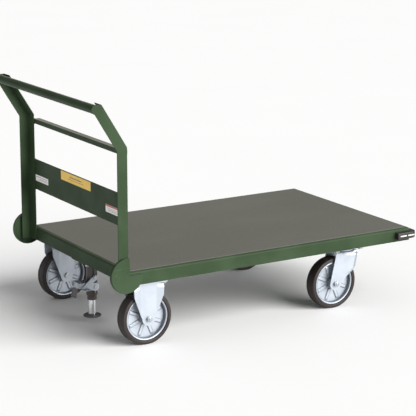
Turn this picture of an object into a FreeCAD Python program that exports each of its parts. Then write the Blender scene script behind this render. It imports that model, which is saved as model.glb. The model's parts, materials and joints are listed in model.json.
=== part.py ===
"""Platform cart with a fixed push handle, two rigid and two swivel casters and a foot-operated floor lock.

Frame: +X forward, away from the handle; +Y to the left; +Z up.
Origin: on the floor, under the middle of the cart's overall box. Lengths are in millimetres.
"right" is the -Y side and "left" is the +Y side; left pieces are mirror images of the right ones.
"""
import FreeCAD, Part
import math
import os

# ---------------------------------------------------------------- deck
deck_length = 1250.0
deck_width = 800.0
rail_depth = 50.0            # height of the folded-down sides
deck_sheet = 2.3
rail_lip = 15.0              # inward return at the bottom of the sides
deck_edge_radius = 8.0
deck_corner_radius = 6.0
mat_thickness = 2.0
mat_margin = 12.0
channel_width = 80.0
lip_gap = 1.0                # between the rails' lips and what ends beside them
pad_thickness = 5.0
pad_margin_x = 10.0          # caster pad beyond the caster's plate, each way
pad_margin_y = 9.0
rib_width = 50.0
rib_height = 30.0
rib_offset = 170.0           # rib centre line from the cart's centre line

# ---------------------------------------------------------------- handle
post_web = 40.0              # fore-and-aft leg of the angle
post_flange = 50.0           # crosswise leg of the angle
post_sheet = 3.0
bend_height = 448.0          # above the mat, at the front edge of the post
handle_lean = 31.5           # degrees, backwards, above the bend
pipe_radius = 16.0
pipe_wall = 2.0
pipe_setback = 27.5          # pipe centre behind the leaning front edge
pipe_height = 590.0          # pipe centre above the mat
cap_margin = 1.0             # steel left round the pipe at the web's rounded end
disc_radius = 64.0
disc_depth = 12.0
disc_sheet = 3.0
disc_back = 11.0             # disc centre behind the deck's rear face
disc_drop = 11.0             # disc centre below the mat
disc_notch_drop = 12.0       # flat of the cut-away quarter below the mat
cross_bar_depth = 25.0
cross_bar_height = 18.0
cross_bar_wall = 2.0
cross_bar_top = 430.0        # above the mat
bar_lap = 5.0                # how far the cross bar laps over each post flange
panel_bottom = 153.0         # above the mat
panel_height = 120.0
panel_sheet = 2.3
panel_lap = 25.0
label_sheet = 0.3
white_label_width = 111.0
white_label_height = 25.0
white_label_margin = 27.0    # from the panel's left end
white_label_bottom = 35.0    # above the panel's lower edge
yellow_label_width = 243.0
yellow_label_height = 35.0
yellow_label_shift = 4.5     # its middle to the left of the cart's centre line
yellow_label_bottom = 82.0
notice_label_width = 99.0
notice_label_height = 29.0
notice_label_margin = 43.0   # from the panel's right end
notice_label_bottom = 33.0

# ---------------------------------------------------------------- corner bumpers
bumper_arm = 72.0
bumper_depth = 22.0
bumper_height = 26.0
bumper_drop = 14.0           # top of the bumper below the mat
bumper_round = 5.0
strip_length = 30.0
strip_gap = 7.0
strip_margin = 10.0          # from the end of the bumper's arm to the first strip
strip_count = 2
strip_height = 5.0
strip_proud = 0.4

# ---------------------------------------------------------------- casters
wheel_radius = 100.0
tyre_width = 50.0
tyre_height = 20.0           # bead to tread
tyre_shoulder = 11.0
tyre_cheek = 2.0             # flat of the tyre's side next to the rim's lip
rim_recess = 3.0             # rim narrower than the tyre, each side
rim_lip = 4.0
rim_sheet = 3.0
rim_disc_setback = 16.0       # rim disc behind the rim's lip
rim_rib_width = 14.0
rim_rib_proud = 3.5
rim_rib_count = 8
hub_wall = 6.0
bearing_wall = 10.0
axle_radius = 6.0
axle_clearance = 0.05        # radial, running fit of the bearing on the axle bolt
side_gap = 0.5               # between the bearing's end and the fork leg
tyre_gap = 5.0               # between the tyre and each fork leg
fork_sheet = 4.0
fork_foot_radius = 26.0
fork_top = 124.0             # width of a rigid fork's leg at its plate
fork_knee = 120.0            # width of a rigid fork's leg where it starts to taper
fork_knee_rise = 85.0        # height of that place above the axle
caster_plate = 5.0
bolt_spacing_x = 110.0
plate_margin_x = 15.0        # from the bolt centres to the caster plate's ends
bolt_room = 11.0             # from a fork leg's outer face to the bolt centres
plate_margin_y = 11.0        # from the bolt centres to the caster plate's sides
bolt_radius = 5.0
bolt_clearance = 0.5
bolt_tail = 3.0              # thread left showing beyond a nut
head_height = 6.5
head_width = 17.0            # across flats
axle_nut_width = 19.0
axle_nut_height = 10.0
rigid_setback = 100.0        # rear wheels' axle ahead of the deck's rear face
nut_room = 10.0              # from the rails' lip to the nearest caster bolt centres
swivel_setback = 265.0       # swivel axis behind the deck's front face
swivel_shift = 15.0          # swivel axes further in from the sides than the rigid wheels
swivel_trail = 50.0          # axle behind the swivel axis
swivel_knee = 34.0           # front edge of a swivel fork's leg ahead of the swivel axis, at its knee
swivel_knee_rise = 58.0      # height of that knee above the axle
crown_radius = 48.0
crown_sheet = 5.0
crown_gap = 18.0             # between the tyre's tread and the crown
race_radius = 44.0
race_bore = 26.0
race_height = 11.6
race_lower_bevel = 4.0
race_upper_bevel = 3.0
race_gap = 0.4               # ball gap between the race and the crown
kingpin_radius = 9.0
kingpin_clearance = 0.08
kingpin_rim = 5.0            # kingpin's head beyond its shank
kingpin_head = 3.0

# ---------------------------------------------------------------- floor lock
lock_setback = 58.0          # lock axis ahead of the deck's rear face
lock_wall = 2.5
lock_bottom = 106.0          # lower end of the wide housing, above the floor
lock_nose_bottom = 86.0
lock_nose_wall = 3.0
lock_guide = 10.0            # thickness of the guide ring under the spring
lock_flange = 90.0
lock_bolt_margin = 10.0      # from the flange's sides to its bolt centres
lock_plate_width = 110.0
weld_nut_height = 2.0        # lock bolt's end above the lock plate
plunger_radius = 15.0
plunger_wall = 3.0
plunger_clearance = 0.08
plunger_head_room = 30.0     # above the plunger's head when the lock is released
plunger_head = 7.0
plunger_head_clearance = 0.4
foot_radius = 34.5
foot_thickness = 6.0
foot_bevel = 2.5
foot_lift = 21.0             # foot above the floor when the lock is released
spring_wire = 1.2            # wire radius
spring_room = 4.0            # between the plunger and the housing's bore
spring_gap = 0.2             # beyond each end of the coil
spring_turns = 9
pedal_pivot_ahead = 3.0      # pedal pivot ahead of the lock axis
pedal_pivot_height = 140.0
pedal_sheet = 3.0
pedal_gap = 1.5              # between the housing and the pedal's cheek
pedal_boss = 15.0
pedal_arm = 20.0             # height of the pedal's arm
pedal_reach = 66.0           # pivot to the pedal's bend
pedal_rise = 12.0
tongue_length = 46.0
tongue_width = 24.0
tongue_slope = 18.0          # degrees back from straight down
boot_wall = 3.0
boot_length = 32.0
pin_radius = 5.0
pin_clearance = 0.05
pin_play = 0.3               # between a lever's cheek and the pin's head
pin_set = 2.0                # depth of a pin or nipple in the housing's wall
pin_head_radius = 8.0
pin_head = 3.0
release_height = 177.0
release_drop = 36.0
release_reach = 50.0
release_arm = 14.0
release_boss = 10.0
release_tread = 26.0
nipple_height = 121.0
nipple_radius = 2.5
nipple_button = 2.25
nipple_length = 6.0

# ---------------------------------------------------------------- derived places
lean = math.radians(handle_lean)
pipe_cap_radius = pipe_radius + cap_margin
pipe_along = (pipe_height - bend_height + pipe_setback * math.sin(lean)) / math.cos(lean)
handle_reach = pipe_along * math.sin(lean) + pipe_setback * math.cos(lean) + pipe_cap_radius
overall_length = handle_reach + deck_length + bumper_depth + strip_proud
rear = handle_reach - overall_length / 2.0
front = rear + deck_length
side = deck_width / 2.0
fork_gap = tyre_width / 2.0 + tyre_gap
fork_outside = fork_gap + fork_sheet
crown_rise = wheel_radius + crown_gap
crown_bottom = wheel_radius + crown_rise
crown_top = crown_bottom + crown_sheet
plate_bottom = crown_top + race_gap + race_height
pad_bottom = plate_bottom + caster_plate
pan_bottom = pad_bottom + pad_thickness
pan_top = pan_bottom + rail_depth
deck_height = pan_top + mat_thickness
axle_height = wheel_radius
tyre_bead_radius = wheel_radius - tyre_height
rim_lip_radius = tyre_bead_radius + rim_lip
rim_half = tyre_width / 2.0 - rim_recess
bearing_radius = axle_radius + bearing_wall
hub_radius = bearing_radius + hub_wall
bolt_spacing_y = 2.0 * (fork_outside + bolt_room)
rigid_inset = rail_lip + nut_room + bolt_spacing_y / 2.0
swivel_inset = rigid_inset + swivel_shift
caster_plate_length = bolt_spacing_x + 2.0 * plate_margin_x
caster_plate_width = bolt_spacing_y + 2.0 * plate_margin_y
pad_length = caster_plate_length + 2.0 * pad_margin_x
pad_inner = side - swivel_inset - caster_plate_width / 2.0 - pad_margin_y
rigid_x = rear + rigid_setback
rigid_y = -(side - rigid_inset)
swivel_x = front - swivel_setback
swivel_y = -(side - swivel_inset)
swivel_axle_x = swivel_x - swivel_trail
panel_reach = side - post_flange + panel_lap
lock_x = rear + lock_setback
lock_nose_radius = plunger_radius + lock_nose_wall
lock_bore = plunger_radius + spring_room
lock_radius = lock_bore + lock_wall
lock_guide_top = lock_bottom + lock_guide
plunger_top = plate_bottom - plunger_head_room
pedal_x = lock_x + pedal_pivot_ahead
cheek_inner = lock_radius + pedal_gap
cheek_outer = cheek_inner + pedal_sheet
release_inner = cheek_outer + pedal_gap
release_outer = release_inner + pedal_sheet


# ---------------------------------------------------------------- helpers
def vec(x, y, z):
    return FreeCAD.Vector(x, y, z)


def box(x0, x1, y0, y1, z0, z1):
    return Part.makeBox(x1 - x0, y1 - y0, z1 - z0, vec(x0, y0, z0))


def cylinder_z(x, y, radius, z0, z1):
    return Part.makeCylinder(radius, z1 - z0, vec(x, y, z0), vec(0, 0, 1))


def cylinder_y(x, z, radius, y0, y1):
    return Part.makeCylinder(radius, y1 - y0, vec(x, y0, z), vec(0, 1, 0))


def prism_y(outline, y0, y1):
    """Solid between y0 and y1 whose side view is the closed outline of (x, z) points."""
    points = [vec(x, y0, z) for x, z in outline]
    face = Part.Face(Part.makePolygon(points + points[:1]))
    return face.extrude(vec(0, y1 - y0, 0))


def turned_y(x, y, z, profile):
    """Solid of revolution about the line along Y through (x, z); the profile holds (radius, y) points."""
    points = [vec(x + radius, y + along, z) for radius, along in profile]
    face = Part.Face(Part.makePolygon(points + points[:1]))
    return face.revolve(vec(x, y, z), vec(0, 1, 0), 360)


def turned_z(x, y, profile):
    """Solid of revolution about the upright line through (x, y); the profile holds (radius, z) points."""
    points = [vec(x + radius, y, z) for radius, z in profile]
    face = Part.Face(Part.makePolygon(points + points[:1]))
    return face.revolve(vec(x, y, 0), vec(0, 0, 1), 360)


def hexagon_z(x, y, width, z0, z1):
    reach = width / math.sqrt(3)
    turns = [math.radians(60 * k) for k in range(6)]
    corners = [vec(x + reach * math.cos(turn), y + reach * math.sin(turn), z0) for turn in turns]
    return Part.Face(Part.makePolygon(corners + corners[:1])).extrude(vec(0, 0, z1 - z0))


def hexagon_y(x, z, width, y0, y1):
    reach = width / math.sqrt(3)
    turns = [math.radians(60 * k) for k in range(6)]
    corners = [(x + reach * math.cos(turn), z + reach * math.sin(turn)) for turn in turns]
    return prism_y(corners, y0, y1)


def left_of(shape):
    """Mirror image on the cart's other side."""
    return shape.mirror(vec(0, 0, 0), vec(0, 1, 0))


def rounded_block(x0, x1, y0, y1, z0, z1, radius):
    """Block with its four upright edges rounded."""
    block = box(x0, x1, y0, y1, z0, z1)
    upright = [edge for edge in block.Edges if abs(edge.tangentAt(edge.FirstParameter).z) > 0.9]
    return block.makeFillet(radius, upright)


def solid(shape):
    """One clean solid out of a finished boolean result."""
    cleaned = shape.removeSplitter()
    return cleaned.Solids[0] if len(cleaned.Solids) == 1 else cleaned


# ---------------------------------------------------------------- deck pieces
def deck_block(inset, bottom, top):
    """Deck-shaped block with rounded corners and a rounded upper rim, inset evenly from the outer faces."""
    block = rounded_block(rear + inset, front - inset, -side + inset, side - inset, bottom, top,
                          deck_corner_radius - inset)
    rim = [edge for edge in block.Edges if abs(edge.CenterOfMass.z - top) < 0.01]
    return block.makeFillet(deck_edge_radius - inset, rim)


def make_deck_pan():
    """Sheet pressed to a tray: top, four sides and a lip turned in under them."""
    tray = deck_block(0.0, pan_bottom, pan_top)
    hollow = deck_block(deck_sheet, pan_bottom + deck_sheet, pan_top - deck_sheet)
    mouth = box(rear + rail_lip, front - rail_lip, -side + rail_lip, side - rail_lip,
                pan_bottom, pan_bottom + 2 * deck_sheet)
    return tray.cut(hollow).cut(mouth)


def make_deck_mat():
    return rounded_block(rear + mat_margin, front - mat_margin, -side + mat_margin, side - mat_margin,
                         pan_top, deck_height, deck_corner_radius)


def make_cross_channels():
    half = channel_width / 2.0
    reach = side - rail_lip - lip_gap
    top = pan_top - deck_sheet
    channels = []
    for centre_x in channel_places().values():
        outer = box(centre_x - half, centre_x + half, -reach, reach, pan_bottom, top)
        inner = box(centre_x - half + deck_sheet, centre_x + half - deck_sheet, -reach, reach,
                    pan_bottom, top - deck_sheet)
        channels.append(outer.cut(inner))
    return Part.makeCompound(channels)


def channel_places():
    return {"rear": rigid_x, "middle": (rigid_x + swivel_x) / 2.0, "front": swivel_x}


def make_deck_ribs():
    places = channel_places()
    top = pan_top - deck_sheet
    half = rib_width / 2.0
    ribs = []
    for start, end in (("rear", "middle"), ("middle", "front")):
        x0 = places[start] + channel_width / 2.0
        x1 = places[end] - channel_width / 2.0
        for centre_y in (-rib_offset, rib_offset):
            outer = box(x0, x1, centre_y - half, centre_y + half, top - rib_height, top)
            inner = box(x0, x1, centre_y - half + deck_sheet, centre_y + half - deck_sheet,
                        top - rib_height, top - deck_sheet)
            ribs.append(outer.cut(inner))
    return Part.makeCompound(ribs)


def bolt_places(centre_x, centre_y):
    return [(centre_x + i * bolt_spacing_x / 2.0, centre_y + j * bolt_spacing_y / 2.0)
            for i in (-1, 1) for j in (-1, 1)]


def caster_places():
    return [(rigid_x, rigid_y), (rigid_x, -rigid_y), (swivel_x, swivel_y), (swivel_x, -swivel_y)]


def drilled(shape, places, radius, z0, z1):
    for x, y in places:
        shape = shape.cut(cylinder_z(x, y, radius, z0, z1))
    return shape


def make_caster_pads():
    pads = []
    for x, y in caster_places():
        outer_y = math.copysign(side - rail_lip - lip_gap, y)
        inner_y = math.copysign(pad_inner, y)
        pad = box(x - pad_length / 2.0, x + pad_length / 2.0, min(outer_y, inner_y), max(outer_y, inner_y),
                  pad_bottom, pan_bottom)
        pads.append(drilled(pad, bolt_places(x, y), bolt_radius + bolt_clearance, pad_bottom, pan_bottom))
    return Part.makeCompound(pads)


def make_caster_bolts():
    bolts = []
    for centre_x, centre_y in caster_places():
        for x, y in bolt_places(centre_x, centre_y):
            head = hexagon_z(x, y, head_width, plate_bottom - head_height, plate_bottom)
            shank = cylinder_z(x, y, bolt_radius, plate_bottom, pan_bottom + head_height + bolt_tail)
            bolts.append(solid(head.fuse(shank)))
    return Part.makeCompound(bolts)


def make_caster_nuts():
    nuts = []
    for centre_x, centre_y in caster_places():
        for x, y in bolt_places(centre_x, centre_y):
            nut = hexagon_z(x, y, head_width, pan_bottom, pan_bottom + head_height)
            nuts.append(nut.cut(cylinder_z(x, y, bolt_radius, pan_bottom, pan_bottom + head_height)))
    return Part.makeCompound(nuts)


# ---------------------------------------------------------------- handle pieces
def lean_point(behind, along):
    """Side-view point at a distance behind the leaning front edge and along it from the bend."""
    x = rear - along * math.sin(lean) - behind * math.cos(lean)
    z = deck_height + bend_height + along * math.cos(lean) - behind * math.sin(lean)
    return x, z


def pipe_centre():
    return lean_point(pipe_setback, pipe_along)


def angle_outline(depth):
    """Side view of the post cut to a depth behind its front edge, with a level top."""
    top = deck_height + pipe_height + pipe_cap_radius
    bend_back = (rear - depth, deck_height + bend_height - depth * math.tan(lean / 2.0))
    along_front = (top - deck_height - bend_height) / math.cos(lean)
    along_back = (top - deck_height - bend_height + depth * math.sin(lean)) / math.cos(lean)
    return [(rear, pan_bottom), (rear, deck_height + bend_height), lean_point(0.0, along_front),
            lean_point(depth, along_back), bend_back, (rear - depth, pan_bottom)]


def make_post():
    """Bent steel angle: a web on the outside, rounded off round the handle pipe, and a crosswise flange."""
    centre_x, centre_z = pipe_centre()
    outline = angle_outline(post_web)
    top = outline[2][1]
    outline[3:4] = [(centre_x, top), (centre_x, centre_z), lean_point(post_web, pipe_along)]
    web = prism_y(outline, -side, -side + post_sheet)
    cap = cylinder_y(centre_x, centre_z, pipe_cap_radius, -side, -side + post_sheet)
    flange = prism_y(angle_outline(post_sheet), -side, -side + post_flange)
    return solid(web.fuse(cap).fuse(flange))


def make_handle_pipe():
    x, z = pipe_centre()
    reach = side - post_sheet
    outer = cylinder_y(x, z, pipe_radius, -reach, reach)
    return outer.cut(cylinder_y(x, z, pipe_radius - pipe_wall, -reach, reach))


def make_cross_bar():
    reach = side - post_flange + bar_lap
    top = deck_height + cross_bar_top
    outer = box(rear, rear + cross_bar_depth, -reach, reach, top - cross_bar_height, top)
    inner = box(rear + cross_bar_wall, rear + cross_bar_depth - cross_bar_wall, -reach, reach,
                top - cross_bar_height + cross_bar_wall, top - cross_bar_wall)
    return outer.cut(inner)


def make_handle_panel():
    bottom = deck_height + panel_bottom
    return box(rear, rear + panel_sheet, -panel_reach, panel_reach, bottom, bottom + panel_height)


def make_label(y0, width, rise, height):
    """Blank sticker on the panel's rear face, from y0 towards the left and a rise above the lower edge."""
    bottom = deck_height + panel_bottom + rise
    return box(rear - label_sheet, rear, y0, y0 + width, bottom, bottom + height)


def disc_solid(radius, y0, y1, inset):
    """Three quarters of a round plate: the quarter over the deck, ahead of the post, is cut away."""
    centre_x = rear - disc_back
    centre_z = deck_height - disc_drop
    notch_z = deck_height - disc_notch_drop - inset
    plate = cylinder_y(centre_x, centre_z, radius, y0, y1)
    notch = box(rear - inset, rear + 2 * disc_radius, y0, y1, notch_z, notch_z + 2 * disc_radius)
    return plate.cut(notch)


def make_foot_disc():
    shell = disc_solid(disc_radius, -side - disc_depth, -side, 0.0)
    hollow = disc_solid(disc_radius - disc_sheet, -side - disc_depth + disc_sheet, -side, disc_sheet)
    return shell.cut(hollow)


# ---------------------------------------------------------------- corner bumpers
def make_bumper():
    """Rubber angle wrapped round the deck's front corner."""
    top = deck_height - bumper_drop
    bottom = top - bumper_height
    x1 = front + bumper_depth
    y0 = -side - bumper_depth
    block = box(front - bumper_arm, x1, y0, -side + bumper_arm, bottom, top)
    deck = rounded_block(rear, front, -side, side, bottom, top, deck_corner_radius)
    guard = block.cut(deck)
    corner = [edge for edge in guard.Edges
              if abs(edge.CenterOfMass.x - x1) < 0.01 and abs(edge.CenterOfMass.y - y0) < 0.01]
    guard = guard.makeFillet(bumper_depth, corner)
    outer = [edge for edge in guard.Edges
             if min(abs(edge.CenterOfMass.z - top), abs(edge.CenterOfMass.z - bottom)) < 0.01
             and not near_deck_face(edge)]
    return guard.makeFillet(bumper_round, outer)


def near_deck_face(edge):
    """True for an edge that lies against the deck or ends an arm there."""
    middle = edge.valueAt((edge.FirstParameter + edge.LastParameter) / 2.0)
    inside_x = middle.x < front + 0.5
    inside_y = middle.y > -side - 0.5
    return inside_x and inside_y


def strip_starts():
    """Distances from the end of a bumper's arm to the start of each strip."""
    return [strip_margin + k * (strip_length + strip_gap) for k in range(strip_count)]


def make_bumper_strips():
    middle = deck_height - bumper_drop - bumper_height / 2.0
    z0 = middle - strip_height / 2.0
    z1 = middle + strip_height / 2.0
    strips = []
    for start in strip_starts():
        x0 = front - bumper_arm + start
        y_face = -side - bumper_depth
        strips.append(box(x0, x0 + strip_length, y_face - strip_proud, y_face, z0, z1))
        y0 = -side + bumper_arm - start - strip_length
        x_face = front + bumper_depth
        strips.append(box(x_face, x_face + strip_proud, y0, y0 + strip_length, z0, z1))
    return Part.makeCompound(strips + [left_of(strip) for strip in strips])


# ---------------------------------------------------------------- wheels
def make_tyre(x, y):
    half = tyre_width / 2.0
    bead = rim_half - rim_sheet
    cheek = rim_lip_radius + tyre_cheek
    flat = wheel_radius - tyre_shoulder
    steps = 6
    profile = [(tyre_bead_radius, -bead), (rim_lip_radius, -bead), (cheek, -half)]
    for sign in (-1, 1):
        for k in range(steps + 1):
            turn = math.radians(90.0 * k / steps)
            turn = turn if sign < 0 else math.pi / 2.0 - turn
            profile.append((flat + tyre_shoulder * math.sin(turn),
                            sign * (half - tyre_shoulder + tyre_shoulder * math.cos(turn))))
    profile += [(cheek, half), (rim_lip_radius, bead), (tyre_bead_radius, bead)]
    return turned_y(x, y, axle_height, profile)


def make_rim(x, y):
    half = rim_half
    barrel = tyre_bead_radius - rim_sheet
    disc = half - rim_disc_setback
    profile = [(bearing_radius, -half), (hub_radius, -half), (hub_radius, -disc), (barrel, -disc),
               (barrel, -half), (rim_lip_radius, -half), (rim_lip_radius, -half + rim_sheet),
               (tyre_bead_radius, -half + rim_sheet),
               (tyre_bead_radius, half - rim_sheet), (rim_lip_radius, half - rim_sheet),
               (rim_lip_radius, half), (barrel, half), (barrel, disc),
               (hub_radius, disc), (hub_radius, half), (bearing_radius, half)]
    rim = turned_y(x, y, axle_height, profile)
    void = turned_y(x, y, axle_height, [(hub_radius + rim_sheet, -disc + rim_sheet),
                                        (barrel - 0.01, -disc + rim_sheet),
                                        (barrel - 0.01, disc - rim_sheet),
                                        (hub_radius + rim_sheet, disc - rim_sheet)])
    rim = rim.cut(void)
    for face, outward in ((y - disc, -1), (y + disc, 1)):
        for k in range(rim_rib_count):
            y0 = min(face, face + outward * rim_rib_proud)
            rib = box(x + hub_radius - 1.0, x + barrel + 1.0, y0, y0 + rim_rib_proud,
                      axle_height - rim_rib_width / 2.0, axle_height + rim_rib_width / 2.0)
            rib.rotate(vec(x, y, axle_height), vec(0, 1, 0), (k + 0.5) * 360.0 / rim_rib_count)
            rim = rim.fuse(rib)
    return solid(rim)


def make_bearing(x, y):
    reach = fork_gap - side_gap
    outer = cylinder_y(x, axle_height, bearing_radius, y - reach, y + reach)
    return outer.cut(cylinder_y(x, axle_height, axle_radius + axle_clearance, y - reach, y + reach))


def make_axle_bolt(x, y):
    """Bolt through both fork legs, its head on the cart's inner side."""
    head = hexagon_y(x, axle_height, axle_nut_width, y + fork_outside, y + fork_outside + head_height)
    tail = y - fork_outside - axle_nut_height - bolt_tail
    shank = cylinder_y(x, axle_height, axle_radius, tail, y + fork_outside)
    return solid(head.fuse(shank))


def make_axle_nut(x, y):
    outside = y - fork_outside
    nut = hexagon_y(x, axle_height, axle_nut_width, outside - axle_nut_height, outside)
    return nut.cut(cylinder_y(x, axle_height, axle_radius, outside - axle_nut_height, outside))


# ---------------------------------------------------------------- forks
def leg_outline(upper_corners, axle_x):
    """Side view of a fork leg: its upper corners from rear to front, then the round foot at the axle."""
    outline = list(upper_corners)
    for k in range(13):
        turn = math.radians(-15.0 - 12.5 * k)
        foot_x = axle_x + fork_foot_radius * math.cos(turn)
        outline.append((foot_x, axle_height + fork_foot_radius * math.sin(turn)))
    return outline


def axle_hole(x, y):
    reach = fork_gap + 2 * fork_sheet
    return cylinder_y(x, axle_height, axle_radius, y - reach, y + reach)


def make_rigid_fork(x, y):
    """Pressed fork: mounting plate and two legs."""
    plate = box(x - caster_plate_length / 2.0, x + caster_plate_length / 2.0,
                y - caster_plate_width / 2.0, y + caster_plate_width / 2.0, plate_bottom, pad_bottom)
    fork = drilled(plate, bolt_places(x, y), bolt_radius + bolt_clearance, plate_bottom, pad_bottom)
    top = fork_top / 2.0
    knee = fork_knee / 2.0
    knee_z = axle_height + fork_knee_rise
    outline = leg_outline([(x - knee, knee_z), (x - top, plate_bottom), (x + top, plate_bottom),
                           (x + knee, knee_z)], x)
    for sign in (-1, 1):
        outer = y + sign * fork_outside
        inner = y + sign * fork_gap
        fork = fork.fuse(prism_y(outline, min(outer, inner), max(outer, inner)))
    return solid(fork.cut(axle_hole(x, y)))


def make_swivel_fork(x, y):
    """Pressed fork: round crown under the ball race and two legs that trail back to the axle."""
    axle_x = x - swivel_trail
    crown = cylinder_z(x, y, crown_radius, crown_bottom, crown_top)
    outline = leg_outline([(x - crown_radius, crown_top), (x + crown_radius, crown_top),
                           (x + swivel_knee, axle_height + swivel_knee_rise)], axle_x)
    bridge = box(x - crown_radius, x + crown_radius, y - fork_outside, y + fork_outside,
                 crown_bottom, crown_top)
    fork = crown.fuse(bridge)
    for sign in (-1, 1):
        outer = y + sign * fork_outside
        inner = y + sign * fork_gap
        fork = fork.fuse(prism_y(outline, min(outer, inner), max(outer, inner)))
    bore = cylinder_z(x, y, kingpin_radius + kingpin_clearance, crown_bottom, crown_top)
    return solid(fork.cut(bore).cut(axle_hole(axle_x, y)))


def make_swivel_plate(x, y):
    plate = box(x - caster_plate_length / 2.0, x + caster_plate_length / 2.0,
                y - caster_plate_width / 2.0, y + caster_plate_width / 2.0, plate_bottom, pad_bottom)
    plate = drilled(plate, bolt_places(x, y), bolt_radius + bolt_clearance, plate_bottom, pad_bottom)
    return plate.cut(cylinder_z(x, y, kingpin_radius, plate_bottom, pad_bottom))


def make_swivel_race(x, y):
    """Pressed ring that holds the upper row of balls under the plate."""
    bottom = crown_top + race_gap
    return turned_z(x, y, [(race_bore, bottom), (race_radius - race_lower_bevel, bottom),
                           (race_radius, bottom + race_lower_bevel),
                           (race_radius, plate_bottom - race_upper_bevel),
                           (race_radius - race_upper_bevel, plate_bottom), (race_bore, plate_bottom)])


def make_kingpin(x, y):
    """Riveted pin from the plate, through the race, to a washer head under the crown."""
    head_top = crown_bottom - race_gap
    head_bottom = head_top - kingpin_head
    head_radius = kingpin_radius + kingpin_rim
    return turned_z(x, y, [(0.0, head_bottom), (head_radius, head_bottom), (head_radius, head_top),
                           (kingpin_radius, head_top), (kingpin_radius, pad_bottom), (0.0, pad_bottom)])


# ---------------------------------------------------------------- floor lock
def make_lock_plate():
    """Plate under the rear cross channel and the rear rail's lip that carries the lock."""
    half = lock_plate_width / 2.0
    plate = box(rear + deck_sheet, rigid_x + channel_width / 2.0, -half, half, pad_bottom, pan_bottom)
    return drilled(plate, lock_bolt_places(), bolt_radius + bolt_clearance, pad_bottom, pan_bottom)


def lock_bolt_places():
    reach = lock_flange / 2.0 - lock_bolt_margin
    return [(lock_x + i * reach, j * reach) for i in (-1, 1) for j in (-1, 1)]


def make_lock_bolts():
    bolts = []
    for x, y in lock_bolt_places():
        head = hexagon_z(x, y, head_width, plate_bottom - head_height, plate_bottom)
        shank = cylinder_z(x, y, bolt_radius, plate_bottom, pan_bottom + weld_nut_height)
        bolts.append(solid(head.fuse(shank)))
    return Part.makeCompound(bolts)


def make_lock_housing():
    half = lock_flange / 2.0
    flange = box(lock_x - half, lock_x + half, -half, half, plate_bottom, pad_bottom)
    flange = drilled(flange, lock_bolt_places(), bolt_radius + bolt_clearance, plate_bottom, pad_bottom)
    guide = plunger_radius + plunger_clearance
    barrel = turned_z(lock_x, 0.0, [(guide, lock_nose_bottom), (lock_nose_radius, lock_nose_bottom),
                                    (lock_nose_radius, lock_bottom), (lock_radius, lock_bottom),
                                    (lock_radius, plate_bottom), (lock_bore, plate_bottom),
                                    (lock_bore, lock_guide_top), (guide, lock_guide_top)])
    housing = flange.fuse(barrel)
    for height, place in ((pedal_pivot_height, pedal_x), (release_height, lock_x)):
        housing = housing.cut(cylinder_y(place, height, pin_radius, -lock_radius - 1.0, lock_radius + 1.0))
    hole = cylinder_y(lock_x, nipple_height, nipple_radius, -lock_radius - 1.0, 0.0)
    return solid(housing.cut(hole))


def pivot_stub(x, z, outer_face, sign):
    """Shouldered pin set in the housing's wall, with its head outside a lever's cheek."""
    start = math.copysign(lock_radius - pin_set, sign)
    end = math.copysign(outer_face + pin_play, sign)
    tip = math.copysign(outer_face + pin_play + pin_head, sign)
    shank = cylinder_y(x, z, pin_radius, min(start, end), max(start, end))
    head = cylinder_y(x, z, pin_head_radius, min(end, tip), max(end, tip))
    return solid(shank.fuse(head))


def make_lever_pins():
    pins = [pivot_stub(pedal_x, pedal_pivot_height, cheek_outer, sign) for sign in (-1, 1)]
    pins.append(pivot_stub(lock_x, release_height, release_outer, -1))
    return Part.makeCompound(pins)


def make_plunger():
    bottom = foot_lift + foot_thickness
    head_radius = lock_bore - plunger_head_clearance
    bore = plunger_radius - plunger_wall
    return turned_z(lock_x, 0.0, [(bore, bottom), (plunger_radius, bottom),
                                  (plunger_radius, plunger_top - plunger_head),
                                  (head_radius, plunger_top - plunger_head), (head_radius, plunger_top),
                                  (bore, plunger_top)])


def make_lock_foot():
    """Rubber foot with a bevelled upper edge."""
    top = foot_lift + foot_thickness
    return turned_z(lock_x, 0.0, [(0.0, foot_lift), (foot_radius, foot_lift),
                                  (foot_radius, top - foot_bevel), (foot_radius - foot_bevel, top), (0.0, top)])


def make_lock_spring():
    """Coil between the housing's guide and the plunger's head."""
    low = lock_guide_top + spring_wire + spring_gap
    high = plunger_top - plunger_head - spring_wire - spring_gap
    radius = (lock_bore + plunger_radius) / 2.0
    helix = Part.makeHelix((high - low) / spring_turns, high - low, radius)
    helix.translate(vec(lock_x, 0.0, low))
    circle = Part.makeCircle(spring_wire, vec(lock_x + radius, 0.0, low), vec(0, 1, 0))
    return Part.Wire(helix).makePipeShell([Part.Wire(circle)], True, True)


def capsule(x0, z0, r0, x1, z1, r1, y0, y1):
    """Tapered bar with round ends, seen from the side."""
    length = math.hypot(x1 - x0, z1 - z0)
    heading = math.atan2(z1 - z0, x1 - x0)
    tilt = math.acos((r0 - r1) / length)
    corners = []
    for x, z, r, turn in ((x0, z0, r0, tilt), (x1, z1, r1, tilt), (x1, z1, r1, -tilt), (x0, z0, r0, -tilt)):
        corners.append((x + r * math.cos(heading + turn), z + r * math.sin(heading + turn)))
    bar = prism_y(corners, y0, y1)
    return bar.fuse(cylinder_y(x0, z0, r0, y0, y1)).fuse(cylinder_y(x1, z1, r1, y0, y1))


def pedal_bend():
    return pedal_x - pedal_reach, pedal_pivot_height + pedal_rise


def tongue_outline(thickness, start, end):
    """Side view of the pedal's tongue, or of the boot on it, below the bend."""
    bend_x, bend_z = pedal_bend()
    slope = math.radians(tongue_slope)
    along = (-math.sin(slope), -math.cos(slope))
    across = (-math.cos(slope), math.sin(slope))
    half = thickness / 2.0
    return [(bend_x + along[0] * s + across[0] * t, bend_z + along[1] * s + across[1] * t)
            for s, t in ((start, -half), (start, half), (end, half), (end, -half))]


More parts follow.
